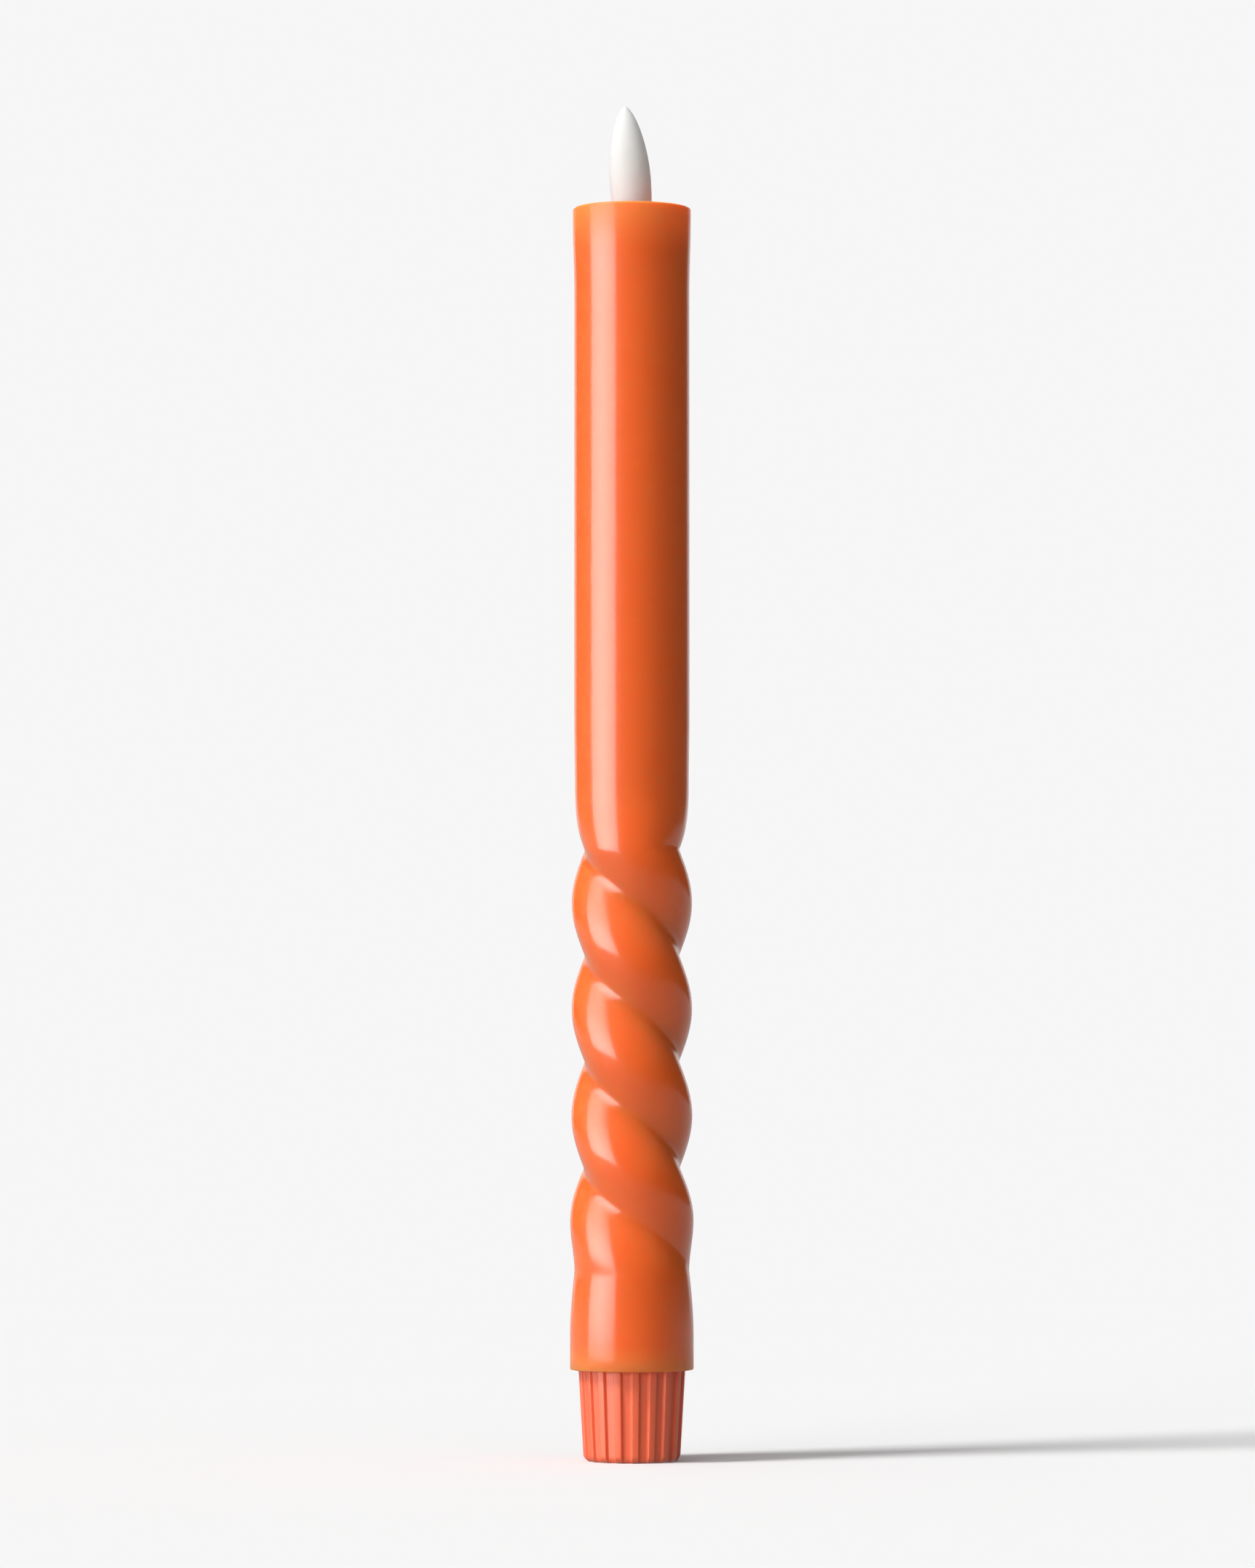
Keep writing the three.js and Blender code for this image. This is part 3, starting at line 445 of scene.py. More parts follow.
glazed = node(tree, "ShaderNodeBsdfPrincipled", {"Base Color": glaze.outputs[2], "Roughness": gloss})
ends = node(tree, "ShaderNodeBsdfPrincipled", {
    "Base Color": tin.outputs[2], "Metallic": 1, "Roughness": gloss})
look = node(tree, "ShaderNodeMixShader", {
    0: tinned.outputs["Result"], 1: glazed.outputs[0], 2: ends.outputs[0]})
node(tree, "ShaderNodeOutputMaterial", {"Surface": look.outputs[0]})
for name, rise in (("lower", 8), ("upper", 28)):
    middle = board_foot + rise
    resistor = box("resistor_" + name, (-1, -1.15, middle - 0.625), (1, -0.65, middle + 0.625), 0.07)
    body = box("step", (-0.64, -2, middle - 1), (0.64, -1.11, middle + 1))
    done(combine(resistor, body), "candle", resistor_finish, "black_plastic", "board_resistor_" + name)


# Leads and LED. Two leads of thin stranded wire in PVC rise from the board's pads to the legs of a 3 mm
# LED, and a short third one joins the negative strip to the board. Each end is soldered in a blob of tin.
lead_radius, leg_foot, leg_x = 0.45, 207.85, 1.27


def between(share):
    """A height between the board's top and the foot of the LED's legs."""
    return board_top + share * (leg_foot - board_top)


# Extruded PVC: satin, with a faint lengthwise drag from the die.
pvcs = {colour: plain_finish("extruded %s PVC" % colour, tints, grain=(0.33, 2), along=0.1, gloss=(0.35, 0.5),
                             relief=(0.2, 0.01), shader={"IOR": 1.53})
        for colour, tints in (("red", ("AE211C", "BA2C26")), ("black", ("1A1A1C", "232326")))}
for colour, side in (("red", 1), ("black", -1)):
    lead = wire("led_lead_%s_wire" % colour, [
        (side * 2.6, -1.1, board_top - 3), (side * 2.6, -1.1, board_top), (side * 2.1, -0.3, between(0.2)),
        (side * 1.5, -0.9, between(0.45)), (side * 1.9, 0.2, between(0.7)), (side * leg_x, 0, between(0.93)),
        (side * leg_x, 0, leg_foot - 0.15),
    ], lead_radius)
    done(lead, "candle", pvcs[colour], colour + "_pvc", "led_lead_" + colour)
pad = board_foot + 9
strip_lead = wire("strip_lead_wire", [
    (0, 5.075, strip_top - 2.2), (0, 4.975, strip_top), (0, 3.8875, pad - 0.2), (0, 1.1, pad - 1.4),
    (0, 1.1, pad),
], lead_radius)
done(strip_lead, "candle", pvcs["black"], "black_pvc", "strip_lead")


def solder(x, y, z, reach, lean):
    """A blob of solder: a low dome of tin round a joint, drawn out a little along the lead."""
    bpy.ops.object.select_all(action="DESELECT")
    bpy.ops.mesh.primitive_uv_sphere_add(
        segments=20, ring_count=12, radius=reach * mm, location=(x * mm, y * mm, z * mm))
    blob = bpy.context.object
    bpy.ops.object.transform_apply(location=True)
    for vertex in blob.data.vertices:
        offset = vertex.co / mm - Vector((x, y, z))
        tall = 1.25 if offset.z * lean > 0 else 0.9
        vertex.co = Vector((x + offset.x, y + offset.y * 0.5, z + offset.z * tall)) * mm
    return blob


blobs = [solder(side * 2.6, -0.62, board_top - 3.1, 0.6, 1) for side in (-1, 1)]
blobs += [solder(side * 0.6, -0.6, crystal_foot - 0.95, 0.32, 1) for side in (-1, 1)]
blobs += [solder(side * 1.2, 0.6, capacitor_foot - 1.25, 0.4, 1) for side in (-1, 1)]
blobs += [solder(0, -0.9, 106.6, 0.7, 1), solder(0, 0.66, pad + 0.1, 0.55, -1),
          solder(0, 5.5, strip_top - 2.3, 0.5, 1)]

# Solder: tin, once molten, so it is bright and smooth with a slight frost.
solder_tin = plain_finish("solder tin", ("B5B6B4", "CBCCCA"), grain=(0.4, 2), gloss=(0.18, 0.34),
                          shader={"Metallic": 1})
done(joined("solder_joints", blobs), "candle", solder_tin, "nickel", angle=60)

led_foot, led_flange_top, led_dome_foot = 217, 218, 220.9
led_profile = [(0, led_foot), (1.8, led_foot), (1.9, led_foot + 0.1), (1.9, led_flange_top - 0.12),
               (1.8, led_flange_top), (1.55, led_flange_top), (1.5, led_flange_top + 0.08),
               (1.49, led_dome_foot)]
for slope in [math.radians(a) for a in range(10, 91, 10)]:
    led_profile.append((1.49 * math.cos(slope), led_dome_foot + 1.5 * math.sin(slope)))
led = turned("led_lens", led_profile, 48)
combine(led, box("flat", (-3, -3, led_foot - 1), (-1.62, 3, led_flange_top + 0.02)))

# Clear epoxy, cast in a polished cup: a small lens with a faint straw tint.
clear_epoxy = plain_finish("cast clear epoxy", ("F3EED8", "F8F5E6"), grain=(1.25, 1), gloss=(0.03, 0.08),
                           shader={"IOR": 1.55, "Transmission Weight": 1})
done(led, "candle", clear_epoxy, "clear_epoxy", "led")

# Inside the epoxy the anode's post and the cathode's cup end, and a dot of yellow phosphor covers the chip
# in the cup.
cup = turned("led_cup", [
    (0, 219.2), (0.3, 219.2), (0.5, 219.5), (0.62, 219.9), (0.55, 219.9), (0.32, 219.6), (0, 219.55)], 32)
post = box("led_post", (0.85, -0.25, led_foot + 0.1), (1.25, 0.25, 219.9), 0.05)
stem = box("led_stem", (-1.45, -0.25, led_foot + 0.1), (-0.9, 0.25, 219.3), 0.05)
arm = box("led_arm", (-1.2, -0.25, 218.9), (0.3, 0.25, 219.3), 0.05)
done(joined("led_frame", [cup, post, stem, arm]), "candle", nickel, "nickel")
phosphor = turned("led_phosphor", [
    (0, 219.56), (0.3, 219.61), (0.45, 219.75), (0.36, 219.85), (0, 219.9)], 32)

# Silicone gel full of yellow phosphor powder, dried in the cup: a dull yellow dot.
phosphor_gel = plain_finish("yellow phosphor gel", ("DFAE2E", "EDC24A"), grain=(0.125, 2),
                            shader={"Roughness": 0.4})
done(phosphor, "candle", phosphor_gel, "clear_epoxy")

for side, name in ((1, "anode"), (-1, "cathode")):
    x = side * leg_x
    leg = box("led_%s_wire" % name, (x - 0.25, -0.25, leg_foot), (x + 0.25, 0.25, 216.85), 0.05)
    stop = box("stop", (x - 0.4, -0.25, 213.2), (x + 0.4, 0.25, 213.9), 0.05)
    done(combine(leg, stop, operation="UNION"), "candle", nickel, "nickel", "led_leg_" + name)


# Flame holder. The real one is a white plug pressed into the tube's top. The flame's stem stands in its
# socket, the LED looks up through the hole in the socket's floor, and its long skirt keeps it straight.
holder_foot, flange_foot, holder_top, socket_floor, socket_underside = 213.55, 223.35, 224.35, 219.35, 218.15
holder = turned("flame_holder_moulding", [
    (1.65, socket_underside), (4.35, socket_underside), (4.35, holder_foot + 0.15), (4.5, holder_foot),
    (5.8, holder_foot), (5.95, holder_foot + 0.25), (5.95, flange_foot), (6.85, flange_foot),
    (6.95, flange_foot + 0.1), (6.95, holder_top - 0.15), (6.8, holder_top), (3.9, holder_top),
    (3.7, holder_top - 0.2), (3.7, socket_floor), (1.65, socket_floor), (1.65, socket_underside),
], 80)
done(holder, "candle", white_plastic, "white_plastic", "flame_holder")


# Wax body. The real one is orange paraffin wax, cast round the plastic tube in a soft mould. Its foot is
# wound of two strands and ends in a plain collar, and its top has the shallow dish of a candle that has
# burnt down a little.
wax_foot, front_groove, groove_spacing, fade_length = 16.7, 102.4, 19.5, 11
fade_start, twist_low, twist_high = 22.7, 54, front_groove + groove_spacing / 2
fade_end, lowest_groove = twist_high + fade_length, twist_high - 4 * groove_spacing
twist_radius, strand_offset = 11.1, 2.4
strand_radius = twist_radius - strand_offset
wax_top, dish_bottom = 230.9, 226.5


def smooth(low, high, value):
    share = min(max((value - low) / (high - low), 0), 1)
    return share * share * (3 - 2 * share)


def outer_radius(height):
    """The radius outside, before it is twisted. It narrows upwards, and opens again a little to the rim."""
    return (11.35 - 0.25 * smooth(44, 68, height) - 0.6 * smooth(twist_high, twist_high + 10, height)
            + 0.15 * smooth(fade_end, fade_end + 14, height) + 0.25 * smooth(214.9, 227.9, height))


def twist_share(height):
    """How far the section is twisted strands: 0 is round, 1 is the full two-strand section."""
    into_fade = min(max(height - twist_high, 0) / fade_length, 1)
    return smooth(fade_start, twist_low, height) * (1 - into_fade) ** 2


def groove_angle(height):
    """The way that a groove faces. It winds down to the right, and is held where the grooves run out."""
    held = min(max(height, lowest_groove), twist_high)
    return -math.pi / 2 - math.pi * (held - front_groove) / groove_spacing


def strand_share(turn):
    """The radius over two round strands side by side, as a share of the whole. Wax fills their crease."""
    across, along = abs(math.cos(turn)), abs(math.sin(turn))
    if along * strand_radius < across * strand_offset:
        return strand_radius / across / twist_radius
    crest = math.sqrt(strand_radius ** 2 - (strand_offset * across) ** 2)
    return (strand_offset * along + crest) / twist_radius


# The outline is drawn straight up at one radius, and each ring then gets its own radius and its twist.
plain_radius, foot_round, rim_round, dish_round = 11, 0.22, 0.45, 1.6
wax_outline = [(0, wax_foot), (5, wax_foot), (10.4, wax_foot), (10.78, wax_foot)]
for slope in [math.radians(a) for a in (30, 60, 90)]:
    wax_outline.append((plain_radius - foot_round * (1 - math.sin(slope)),
                        wax_foot + foot_round * (1 - math.cos(slope))))
height = wax_foot + foot_round
while height < fade_end:
    height += 2 if height < fade_start - 2 else 0.8
    wax_outline.append((plain_radius, height))
wax_outline += [(plain_radius, z) for z in (
    126, 129, 134, 138, 142, 146, 151, 160, 170, 180, 190, 200, 208, 213, 216, 219, 222, 225, 228)]
for slope in [math.radians(a) for a in range(0, 91, 15)]:
    wax_outline.append((plain_radius - rim_round * (1 - math.cos(slope)),
                        wax_top - rim_round * (1 - math.sin(slope))))
wax_outline += [(9.35, wax_top), (9.12, wax_top - 0.07), (8.96, wax_top - 0.25), (8.9, wax_top - 0.55)]
for slope in [math.radians(a) for a in range(0, 91, 15)]:
    wax_outline.append((7.3 + dish_round * math.cos(slope),
                        dish_bottom + dish_round - dish_round * math.sin(slope)))
wax_outline += [(4.6, dish_bottom), (2, dish_bottom), (0, dish_bottom)]
wax = turned("wax_body", wax_outline, 120)
for vertex in wax.data.vertices:
    x, y, height = vertex.co / mm
    radius, column = math.hypot(x, y), math.atan2(y, x)
    share = twist_share(height)
    turn = column - 0.2 * share * math.sin(2 * column)
    # Only the outside is twisted, and not the foot's face or the dish.
    if radius > 10.3:
        radius = (radius - plain_radius + outer_radius(height)) * (1 + share * (strand_share(turn) - 1))
    angle = turn + groove_angle(height)
    vertex.co = Vector((radius * math.cos(angle), radius * math.sin(angle), height)) * mm
combine(wax, turned("wax_bore", [
    (0, 10), (10.25, 10), (10.25, wax_foot), (10.15, wax_foot + 0.12), (10.15, 17.4), (7.15, 17.4),
    (7.15, 224.5), (4.05, 224.5), (4.05, 226.38), (4.17, 226.5), (4.17, 240), (0, 240),
], 96))

# Paraffin wax with stearin, cast: light goes a millimetre or two into it, so thin edges glow and shadows
# turn deep red. Its skin is polished, which is the coat here, with a faint unevenness, and is duller where
# it was trimmed at the rim and foot. There its tint is also painted paler and yellower: a painted glow of
# light through the thin wax.
orange_wax, tree = new_material("cast orange paraffin wax")
at = node(tree, "ShaderNodeTexCoord").outputs["Object"]
bloom = node(tree, "ShaderNodeTexNoise", {
    "Vector": at, "Scale": 1 / (5.56 * mm), "Detail": 3, "Roughness": 0.6}).outputs["Fac"]
swell = node(tree, "ShaderNodeTexNoise", {
    "Vector": at, "Scale": 1 / (11.1 * mm), "Detail": 1}).outputs["Fac"]
rise = node(tree, "ShaderNodeSeparateXYZ", {0: at}).outputs["Z"]
near_foot = node(tree, "ShaderNodeMapRange", {
    "Value": rise, "From Min": 16.9 * mm, "From Max": 22 * mm, "To Min": 0.5, "To Max": 0,
}, interpolation_type="SMOOTHSTEP")
near_rim = node(tree, "ShaderNodeMapRange", {
    "Value": rise, "From Min": 221 * mm, "From Max": 231.2 * mm, "To Max": 0.7,
}, interpolation_type="SMOOTHSTEP")
# Rim and foot mask: it paints a glow into the tint and thins the coat there.
edge_glow_and_dull_coat = node(tree, "ShaderNodeMath", {
    0: near_foot.outputs["Result"], 1: near_rim.outputs["Result"]}, operation="ADD").outputs["Value"]
tint = node(tree, "ShaderNodeMix", {0: bloom, 6: linear("F56A2A"), 7: linear("F97231")}, data_type="RGBA")
# Painted glow: the tint turns paler and yellower near the rim and foot, standing in for light through the
# thin wax.
tint = node(tree, "ShaderNodeMix", {0: edge_glow_and_dull_coat, 6: tint.outputs[2], 7: linear("FB9048")}, data_type="RGBA")
gloss = node(tree, "ShaderNodeMapRange", {"Value": bloom, "To Min": 0.38, "To Max": 0.46})
shine = node(tree, "ShaderNodeMapRange", {"Value": edge_glow_and_dull_coat, "From Max": 0.7, "To Min": 0.68, "To Max": 0.2})
skin = node(tree, "ShaderNodeBump", {
    "Height": swell, "Strength": 0.3, "Distance": 0.12 * mm}).outputs["Normal"]
look = node(tree, "ShaderNodeBsdfPrincipled", {
    "Base Color": tint.outputs[2], "Roughness": gloss.outputs["Result"], "IOR": 1.5,
    "Specular IOR Level": 0.13, "Coat Weight": shine.outputs["Result"], "Coat Roughness": 0.15,
    "Coat IOR": 1.5, "Normal": skin, "Coat Normal": skin, "Subsurface Weight": 1,
    "Subsurface Radius": (1, 0.25, 0.1), "Subsurface Scale": 4.5 * mm})
node(tree, "ShaderNodeOutputMaterial", {"Surface": look.outputs["BSDF"]})
done(wax, "candle", orange_wax, "orange_wax", "wax_sleeve", angle=50)


# Flame. The real one is a solid drop of white translucent plastic, moulded with a bore from below that lets
# the LED shine up into it. Its stem stands in the holder's socket, and its blade leans a little left.
flame_foot, flame_tip, blade_length, stem_radius = 219.5, 250.0, 14, 3.35
flame_widest = flame_tip - blade_length


def flame_half_width(height):
    if height <= flame_widest:
        return 3.55 + 0.29 * smooth(dish_bottom, flame_widest, height)
    return 3.84 * max(0, 1 - ((height - flame_widest) / blade_length) ** 1.9) ** 0.65


def flame_lean(height):
    """How far the flame's middle lies to the left of the candle's axis. It leans from the rim up."""
    return 1.25 * max(0, (height - wax_top) / 19.1) ** 1.15


flame_heights = [flame_foot, flame_foot + 0.2, 223, dish_bottom, 228, 229.5, 231, 232.5, 234]
flame_heights += [flame_widest + blade_length * math.sin(math.radians(a)) for a in range(0, 85, 3)]
bpy.ops.object.select_all(action="DESELECT")
bpy.ops.mesh.primitive_circle_add(
    vertices=64, radius=stem_radius * mm, fill_type="NGON", location=(0, 0, flame_foot * mm))
flame = bpy.context.object
flame.name = "flame_drop"
bpy.ops.object.transform_apply(location=True)
bpy.ops.object.mode_set(mode="EDIT")
bpy.ops.transform.resize(value=(1, 0.94, 1), center_override=(0, 0, flame_foot * mm))
width, height = stem_radius, flame_foot
for next_height in flame_heights[1:]:
    bpy.ops.mesh.extrude_region_move(TRANSFORM_OT_translate={"value": (0, 0, (next_height - height) * mm)})
    middle = (-flame_lean(height) * mm, 0, next_height * mm)
    next_width = flame_half_width(next_height)
    bpy.ops.transform.resize(value=(next_width / width, next_width / width, 1), center_override=middle)
    bpy.ops.transform.translate(value=((flame_lean(height) - flame_lean(next_height)) * mm, 0, 0))
    width, height = next_width, next_height
bpy.ops.mesh.extrude_region_move(TRANSFORM_OT_translate={"value": (0, 0, (flame_tip - height) * mm)})
bpy.ops.mesh.merge(type="CENTER")
closed_up()
combine(flame, turned("flame_bore", [
    (0, 218), (2.45, 218), (2.45, 219.4), (2.2, 219.8), (2.2, 227.5), (1.9, 229.6), (1.4, 231.6),
    (0.7, 232.5), (0, 232.6),
], 48))

# White polypropylene, moulded: light goes some way into it, so its dark side stays soft and warm.
flame_plastic = plain_finish(
    "moulded white polypropylene", ("D0D0CD", "D5D4D2"), grain=(4.17, 2), relief=(0.05, 0.05), shader={
        "Roughness": 0.6, "IOR": 1.49, "Specular IOR Level": 0.15, "Subsurface Weight": 1,
        "Subsurface Radius": (1, 0.97, 0.92), "Subsurface Scale": 9 * mm})
done(flame, "candle", flame_plastic, "flame_plastic", "flame")


# Cells. The real ones are two AAA cells: a steel can in a printed film, shrunk on and rolled in over both
# ends, with the bare can's bottom at one end and a pressed nub on a sealing ring at the other.
cell_feet = {"lower": 11.55, "upper": 56.05}
cell_length, cell_radius = 44.5, 5.2
shoulder = cell_length - 0.9

# Printed film over steel: slate blue with a copper band at the nub's end, glossy, and bare steel inside its
# rolled edges.
jacket, tree = new_material("printed film on a steel can")
at = node(tree, "ShaderNodeTexCoord").outputs["Object"]
place = node(tree, "ShaderNodeSeparateXYZ", {0: at})
across = node(tree, "ShaderNodeCombineXYZ", {"X": place.outputs["X"], "Y": place.outputs["Y"]})
reach = node(tree, "ShaderNodeVectorMath", {0: across.outputs["Vector"]}, operation="LENGTH")
up = node(tree, "ShaderNodeMath", {0: place.outputs["Z"], 1: cell_feet["lower"] * mm}, operation="SUBTRACT")
up = node(tree, "ShaderNodeMath", {0: up.outputs["Value"], 1: cell_length * mm}, operation="FLOORED_MODULO")
banded = node(tree, "ShaderNodeMapRange", {
    "Value": up.outputs["Value"], "From Min": 34 * mm, "From Max": 34.05 * mm})
covered = node(tree, "ShaderNodeMapRange", {
    "Value": reach.outputs["Value"], "From Min": 4.35 * mm, "From Max": 4.4 * mm})
haze = node(tree, "ShaderNodeTexNoise", {
    "Vector": at, "Scale": 1 / (2.5 * mm), "Detail": 2}).outputs["Fac"]
film = node(tree, "ShaderNodeMix", {
    0: banded.outputs["Result"], 6: linear("33404D"), 7: linear("A6693C")}, data_type="RGBA")
steel = node(tree, "ShaderNodeMix", {0: haze, 6: linear("ADABA5"), 7: linear("C0BEB8")}, data_type="RGBA")
gloss = node(tree, "ShaderNodeMapRange", {"Value": haze, "To Min": 0.18, "To Max": 0.3}).outputs["Result"]
wrapped = node(tree, "ShaderNodeBsdfPrincipled", {
    "Base Color": film.outputs[2], "Roughness": gloss, "IOR": 1.5, "Metallic": 0.35})
bare = node(tree, "ShaderNodeBsdfPrincipled", {
    "Base Color": steel.outputs[2], "Metallic": 1, "Roughness": gloss})
look = node(tree, "ShaderNodeMixShader", {
    0: covered.outputs["Result"], 1: bare.outputs[0], 2: wrapped.outputs[0]})
node(tree, "ShaderNodeOutputMaterial", {"Surface": look.outputs[0]})
for name, foot in cell_feet.items():
    cell = turned("cell_%s_can" % name, [
        (0, 0), (3.9, 0), (4.2, 0.03), (4.38, 0.08), (4.42, 0), (4.9, 0.02), (5.1, 0.16), (cell_radius, 0.45),
        (cell_radius, shoulder - 0.5), (5.1, shoulder - 0.14), (4.9, shoulder - 0.01), (4.42, shoulder),
        (4.38, shoulder - 0.12), (2.6, shoulder - 0.12), (2.1, shoulder - 0.04), (1.95, shoulder + 0.08),
        (1.9, shoulder + 0.7), (1.75, shoulder + 0.87), (1.6, cell_length), (0, cell_length),
    ], 72, foot)
    done(cell, "cells", jacket, "cell_jacket", "cell_" + name)


# Ribbed cap. The real one is moulded in coral plastic with a slightly frosted skin. Its 18 ribs give a grip
# to screw it off, and run out on the rounded corner at the foot. Two bosses and a turn and a half of thread
# are inside it.

def pick(radius):
    """In edit mode, selects the corners that lie at one radius, in mm."""
    bpy.ops.mesh.select_mode(type="VERT")
    bpy.ops.mesh.select_all(action="DESELECT")
    form = bmesh.from_edit_mesh(bpy.context.object.data)
    for corner in form.verts:
        if abs(corner.co.length / mm - radius) < 0.01:
            corner.select_set(True)
    form.select_flush_mode()
    bmesh.update_edit_mesh(bpy.context.object.data)


cap_height, cap_corner, rib_count, crest_radius, groove_radius = 17.1, 1.3, 18, 8.95, 8.35
bpy.ops.object.select_all(action="DESELECT")
bpy.ops.mesh.primitive_circle_add(vertices=rib_count * 5, radius=crest_radius * mm, fill_type="NGON")
cap = bpy.context.object
cap.name = "ribbed_cap"
pitch, root_half, crest_half = math.tau / rib_count, 0.76 / groove_radius, 0.62 / crest_radius
corners = []
for rib in range(rib_count):
    middle = rib * pitch - math.pi / 2 + 0.6 / crest_radius
    corners += [(groove_radius, middle - root_half), (crest_radius, middle - crest_half),
                (crest_radius, middle + crest_half), (groove_radius, middle + root_half),
                (groove_radius, middle + pitch / 2)]
for vertex, (radius, angle) in zip(cap.data.vertices, corners):
    vertex.co = (radius * math.cos(angle) * mm, radius * math.sin(angle) * mm, 0)
bpy.ops.object.mode_set(mode="EDIT")
pick(crest_radius)
bpy.ops.mesh.bevel(affect="VERTICES", offset=0.16 * mm, segments=4)
pick(groove_radius)
bpy.ops.mesh.bevel(affect="VERTICES", offset=0.1 * mm, segments=3)
bpy.ops.mesh.select_all(action="SELECT")
levels = [cap_corner * (1 - math.cos(math.radians(a))) for a in range(10, 91, 10)]
level = 0
for next_level in levels + [4, 8, 12, 16.8, cap_height]:
    bpy.ops.mesh.extrude_region_move(TRANSFORM_OT_translate={"value": (0, 0, (next_level - level) * mm)})
    level = next_level
closed_up()
for vertex in cap.data.vertices:
    x, y, height = vertex.co / mm
    radius, angle = math.hypot(x, y), math.atan2(y, x)
    inwards = 1 - math.sin(math.acos(1 - min(height, cap_corner) / cap_corner))
    lean_out = 0.9 * max(0, height - cap_corner) / (cap_height - cap_corner)
    crest = crest_radius - cap_corner * inwards + lean_out
    radius = crest - (crest_radius - radius) * max(1 - inwards, 0.02)
    vertex.co = (radius * math.cos(angle) * mm, radius * math.sin(angle) * mm, height * mm)
cap_floor, boss_top, screw_y = 2.5, 5.9, 4.8
combine(cap,
        turned("cap_cavity", [
            (0, cap_floor), (6.7, cap_floor), (6.9, cap_floor + 0.2), (6.9, boss_top), (7.85, boss_top),
            (7.85, 16.9), (8.05, 17.1), (8.05, 20), (0, 20)], 96),
        turned("cap_recess", [
            (0, -1), (6.1, -1), (6.1, 0), (5.85, 0.06), (5.72, 0.2), (5.7, 0.4), (5.7, 1.1), (5.64, 1.24),
            (5.5, 1.3), (0, 1.3)], 96),
        box("knob_slot", (-3.1, -1.15, 0), (3.1, 1.15, 4)))
for y in (-screw_y, screw_y):
    boss = turned("boss", [(0, 2.35), (1.3, 2.35), (1.3, boss_top - 0.1), (1.2, boss_top), (0, boss_top)], 40)
    combine(cap, moved(boss, 0, y), operation="UNION")
    combine(cap, moved(turned("hole", [(0, 3.3), (0.75, 3.3), (0.75, 8), (0, 8)], 32), 0, y))
combine(cap, thread("cap_thread", root=8.2, crest=7.3, foot=11.5), operation="UNION")

# Coral polypropylene, moulded in a finely sparked tool: a slightly frosted skin that spreads the light.
coral_plastic = plain_finish(
    "moulded coral polypropylene", ("F2683F", "F57046"), grain=(0.286, 2), mottle=(6.67, 2),
    relief=(0.15, 0.03), shader={
        "Roughness": 0.42, "IOR": 1.49, "Specular IOR Level": 0.65, "Subsurface Weight": 0.2,
        "Subsurface Radius": (1, 0.25, 0.12), "Subsurface Scale": 0.8 * mm})
done(cap, "cap", coral_plastic, "coral_plastic", "base_cap")


# Contacts in the cap. A spring of nickel-plated wire, its last turns closed flat, presses the cells up. A
# pressed ring round it meets the strip's folded foot as the cap is screwed home. Both are soldered to the
# switch board.
spring_foot, spring_top, spring_wire, spring_turns, turn_steps = 7.2, 11.4, 0.25, 3.5, 28
coil = []
for step in range(int(spring_turns * turn_steps) + 1):
    turns = step / turn_steps
    share = min(max((turns - 0.25) / (spring_turns - 0.5), 0), 1)
    radius, angle = 3.2 - 1.2 * share - spring_wire, turns * math.tau
    lift = spring_foot + spring_wire + share * (spring_top - spring_foot - 2 * spring_wire)
    coil.append((radius * math.cos(angle), radius * math.sin(angle), lift))
spring = wire("contact_spring_coil", coil, spring_wire, bends="NONE")
done(spring, "cap", nickel, "nickel", "contact_spring")
contact_ring = turned("contact_ring_pressing", [
    (5.75, 7.22), (5.8, 7.2), (6.9, 7.2), (6.95, 7.25), (6.95, 7.45), (6.9, 7.5), (5.8, 7.5), (5.75, 7.45),
    (5.75, 7.22),
], 80)
done(contact_ring, "cap", nickel, "nickel", "contact_ring")


# Switch board. The real one is a glass-fibre disc, screwed down on the cap's two bosses with small
# cross-head screws. It carries the contacts on top and the slide switch underneath, whose pins are soldered
# through it.
panel_foot, panel_top = 6.05, 7.05
switch_board = turned("switch_board_panel", [
    (0, panel_foot), (7.62, panel_foot), (7.7, panel_foot + 0.08), (7.7, panel_top - 0.08), (7.62, panel_top),
    (0, panel_top),
], 80)
for x in (-2, 0, 2):
    combine(switch_board, box("pin_hole", (x - 0.4, -0.4, 5), (x + 0.4, 0.4, 8)))
for y in (-screw_y, screw_y):
    combine(switch_board, moved(turned("hole", [(0, 5), (0.75, 5), (0.75, 8), (0, 8)], 32), 0, y))
done(switch_board, "cap", board_green, "board", "switch_board")

# Zinc-plated steel, cold-formed: bluish grey and a little cloudy, on the screws and on the switch's can.
zinc = plain_finish("zinc-plated steel", ("95999B", "ABAEAE"), grain=(1.11, 3), gloss=(0.28, 0.45),
                    shader={"Metallic": 1})
for name, y in (("left", -screw_y), ("right", screw_y)):
    outline = [(0, 3.6), (0.25, 3.65)]
    for winding in range(8):
        outline += [(0.48, 3.85 + 0.4 * winding), (0.6, 4.05 + 0.4 * winding)]
    outline += [(0.5, 7.1), (0.5, 7.2), (0.85, 7.2), (0.95, 7.28), (0.93, 7.5), (0.78, 7.7), (0.5, 7.78),
                (0, 7.8)]
    screw = moved(turned("board_screw_%s_head" % name, outline, 32), 0, y)
    combine(screw,
            box("cross", (-0.62, y - 0.11, 7.4), (0.62, y + 0.11, 9)),
            box("cross", (-0.11, y - 0.62, 7.4), (0.11, y + 0.62, 9)))
    done(screw, "cap", zinc, "steel", "board_screw_" + name)


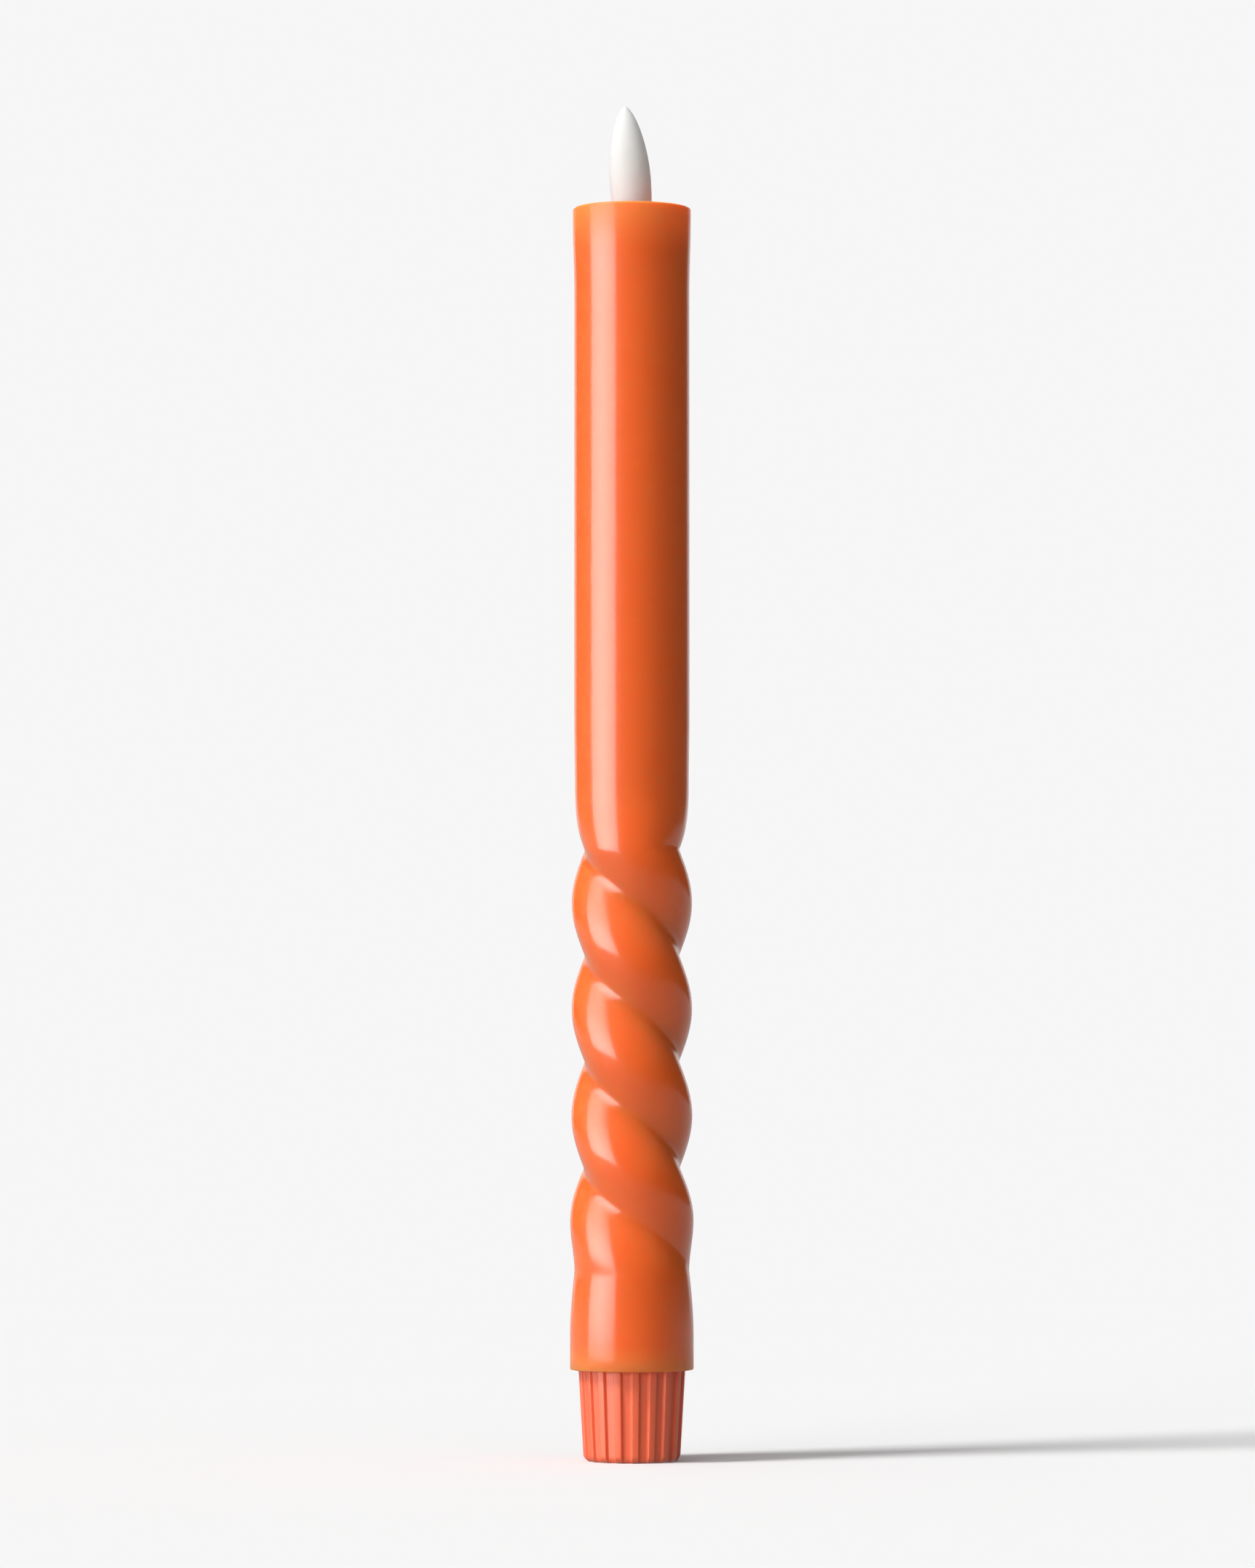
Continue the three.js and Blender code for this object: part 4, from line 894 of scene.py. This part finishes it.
# Slide switch. The real one is a bent steel can, folded over a moulded inside, with three pins. Its black
# knob has three positions, and reaches out through the slot in the cap's floor, for a fingernail to push.
can_foot, can_top = 2.65, 5.75
switch_can = box("switch_body_can", (-4.3, -2.1, can_foot), (4.3, 2.1, can_top), 0.18)
combine(switch_can, box("slot", (-3.1, -1, can_foot - 1), (3.1, 1, 3.85)))
for front, back in ((-3, -2), (2, 3)):
    for left, right in ((-1.6, -0.9), (0.9, 1.6)):
        combine(switch_can, box("fold", (left, front, 4.9), (right, back, can_top + 1)))
for x in (-2, 0, 2):
    pin = box("pin", (x - 0.25, -0.25, can_top - 0.15), (x + 0.25, 0.25, 7.55), 0.06)
    combine(switch_can, pin, operation="UNION")
done(switch_can, "cap", zinc, "steel", "switch_body")

pin_joints = [solder(x, 0, 7.1, 0.55, 1) for x in (-2, 0, 2)]
done(joined("switch_joints", pin_joints), "cap", solder_tin, "nickel", angle=60)

knob = box("switch_knob_slider", (-0.8, -0.85, 0.45), (0.8, 0.85, 3.55), 0.1)
combine(knob,
        box("groove", (-0.39, -2, 0), (-0.14, 2, 0.7)), box("groove", (0.14, -2, 0), (0.39, 2, 0.7)))
done(knob, "switch", black_plastic, "black_plastic", "switch_knob")


# Floor, light and camera. A broad key sun high on the left throws the shadow, a soft sun that leaves no
# reflection fills from the front left, a tall soft box draws the light band, and the sky fills from above.
bpy.ops.object.select_all(action="DESELECT")
bpy.ops.mesh.primitive_circle_add(vertices=64, radius=6, fill_type="NGON")
floor = bpy.context.object
floor.name = "floor"

# White studio paper, matt: to the camera it fades into the backdrop. Reflections show it dark in front of the
# candle and pale behind, and it throws little light up.
backdrop_white = linear("F7F6F7")
paper, tree = new_material("white studio paper")
at = node(tree, "ShaderNodeTexCoord").outputs["Object"]
path = node(tree, "ShaderNodeLightPath")
far = node(tree, "ShaderNodeVectorMath", {0: at}, operation="LENGTH")
fade = node(tree, "ShaderNodeMapRange", {
    "Value": far.outputs["Value"], "From Min": 0.3, "From Max": 0.7}, interpolation_type="SMOOTHSTEP")
paper_near = node(tree, "ShaderNodeBsdfDiffuse", {"Color": linear("DFDFDF")})
paper_far = node(tree, "ShaderNodeEmission", {"Color": backdrop_white, "Strength": 1})
paper_mix = node(tree, "ShaderNodeMixShader", {
    0: fade.outputs["Result"], 1: paper_near.outputs[0], 2: paper_far.outputs[0]})
depth = node(tree, "ShaderNodeSeparateXYZ", {0: at}).outputs["Y"]
front_end = node(tree, "ShaderNodeMapRange", {"Value": depth, "From Min": -0.45, "From Max": -0.1})
front_end = node(tree, "ShaderNodeMath", {
    0: path.outputs["Is Glossy Ray"], 1: front_end.outputs["Result"]}, operation="MULTIPLY")
mirrored = node(tree, "ShaderNodeEmission", {"Color": linear("D4D3D4"), "Strength": front_end.outputs[0]})
glossy_mix = node(tree, "ShaderNodeMixShader", {
    0: path.outputs["Is Glossy Ray"], 1: paper_mix.outputs[0], 2: mirrored.outputs[0]})
dim = node(tree, "ShaderNodeBsdfDiffuse", {"Color": (0.29, 0.29, 0.29, 1)})
all_mix = node(tree, "ShaderNodeMixShader", {
    0: path.outputs["Is Diffuse Ray"], 1: glossy_mix.outputs[0], 2: dim.outputs[0]})
node(tree, "ShaderNodeOutputMaterial", {"Surface": all_mix.outputs[0]})
floor.data.materials.append(paper)

# The sky lights the candle from overhead. The camera sees the backdrop instead, and reflections and glass
# show a bright wall behind the candle.
world = bpy.data.worlds.new("studio")
bpy.context.scene.world = world
world.use_nodes = True
tree = world.node_tree
tree.nodes.clear()
path = node(tree, "ShaderNodeLightPath")
way = node(tree, "ShaderNodeSeparateXYZ", {0: node(tree, "ShaderNodeTexCoord").outputs["Generated"]})
behind = node(tree, "ShaderNodeMapRange", {"Value": way.outputs["Y"], "From Min": 0.8, "From Max": 0.87})
above = node(tree, "ShaderNodeMapRange", {
    "Value": way.outputs["Z"], "From Min": 0.25, "From Max": 0.85, "To Max": 0.66})
around = node(tree, "ShaderNodeMath", {
    0: above.outputs["Result"], 1: 0.3, 2: behind.outputs["Result"]}, operation="MULTIPLY_ADD")
shown = node(tree, "ShaderNodeBackground", {"Color": backdrop_white, "Strength": 1})
backdrop = node(tree, "ShaderNodeBackground", {"Color": (1, 1, 1, 1), "Strength": around.outputs["Value"]})
dusk = node(tree, "ShaderNodeBackground", {"Color": (1, 1, 1, 1), "Strength": above.outputs["Result"]})
mirror = node(tree, "ShaderNodeMath", {
    0: path.outputs["Is Glossy Ray"], 1: path.outputs["Is Transmission Ray"]}, operation="MAXIMUM")
seen = node(tree, "ShaderNodeMixShader", {0: mirror.outputs[0], 1: dusk.outputs[0], 2: backdrop.outputs[0]})
seen = node(tree, "ShaderNodeMixShader", {
    0: path.outputs["Is Camera Ray"], 1: seen.outputs[0], 2: shown.outputs[0]})
node(tree, "ShaderNodeOutputWorld", {"Surface": seen.outputs[0]})


def lamp(name, kind, at, aim, **settings):
    light = bpy.data.lights.new(name, kind)
    for key, value in settings.items():
        setattr(light, key, value)
    holder = bpy.data.objects.new(name, light)
    bpy.context.scene.collection.objects.link(holder)
    holder.location = at
    holder.rotation_euler = (Vector(aim) - Vector(at)).to_track_quat("-Z", "Y").to_euler()
    return holder


lamp("key", "SUN", (-0.573, -0.29, 0.766), (0, 0, 0), energy=3.0, angle=math.radians(15))
side_lamp = lamp("side", "SUN", (-0.58, -0.8, 0.1), (0, 0, 0), energy=1.95, angle=math.radians(35))
side_lamp.visible_glossy = False
soft_box = lamp("strip", "AREA", (-0.346, -0.2, 0.235), (0, 0, 0.235), energy=1.95, shape="RECTANGLE",
                size=0.423, size_y=0.47, spread=math.radians(100))
soft_box.visible_diffuse = soft_box.visible_camera = False

camera = bpy.data.objects.new("camera", bpy.data.cameras.new("camera"))
bpy.context.scene.collection.objects.link(camera)
camera.location = (-0.0008, -1.15, 0.075)
camera.rotation_euler = (Vector((-0.0008, 0, 0.1243)) - camera.location).to_track_quat("-Z", "Y").to_euler()
camera.data.lens = 143.35
camera.data.sensor_width = 36
bpy.context.scene.camera = camera
bpy.context.scene.view_settings.view_transform = "Standard"
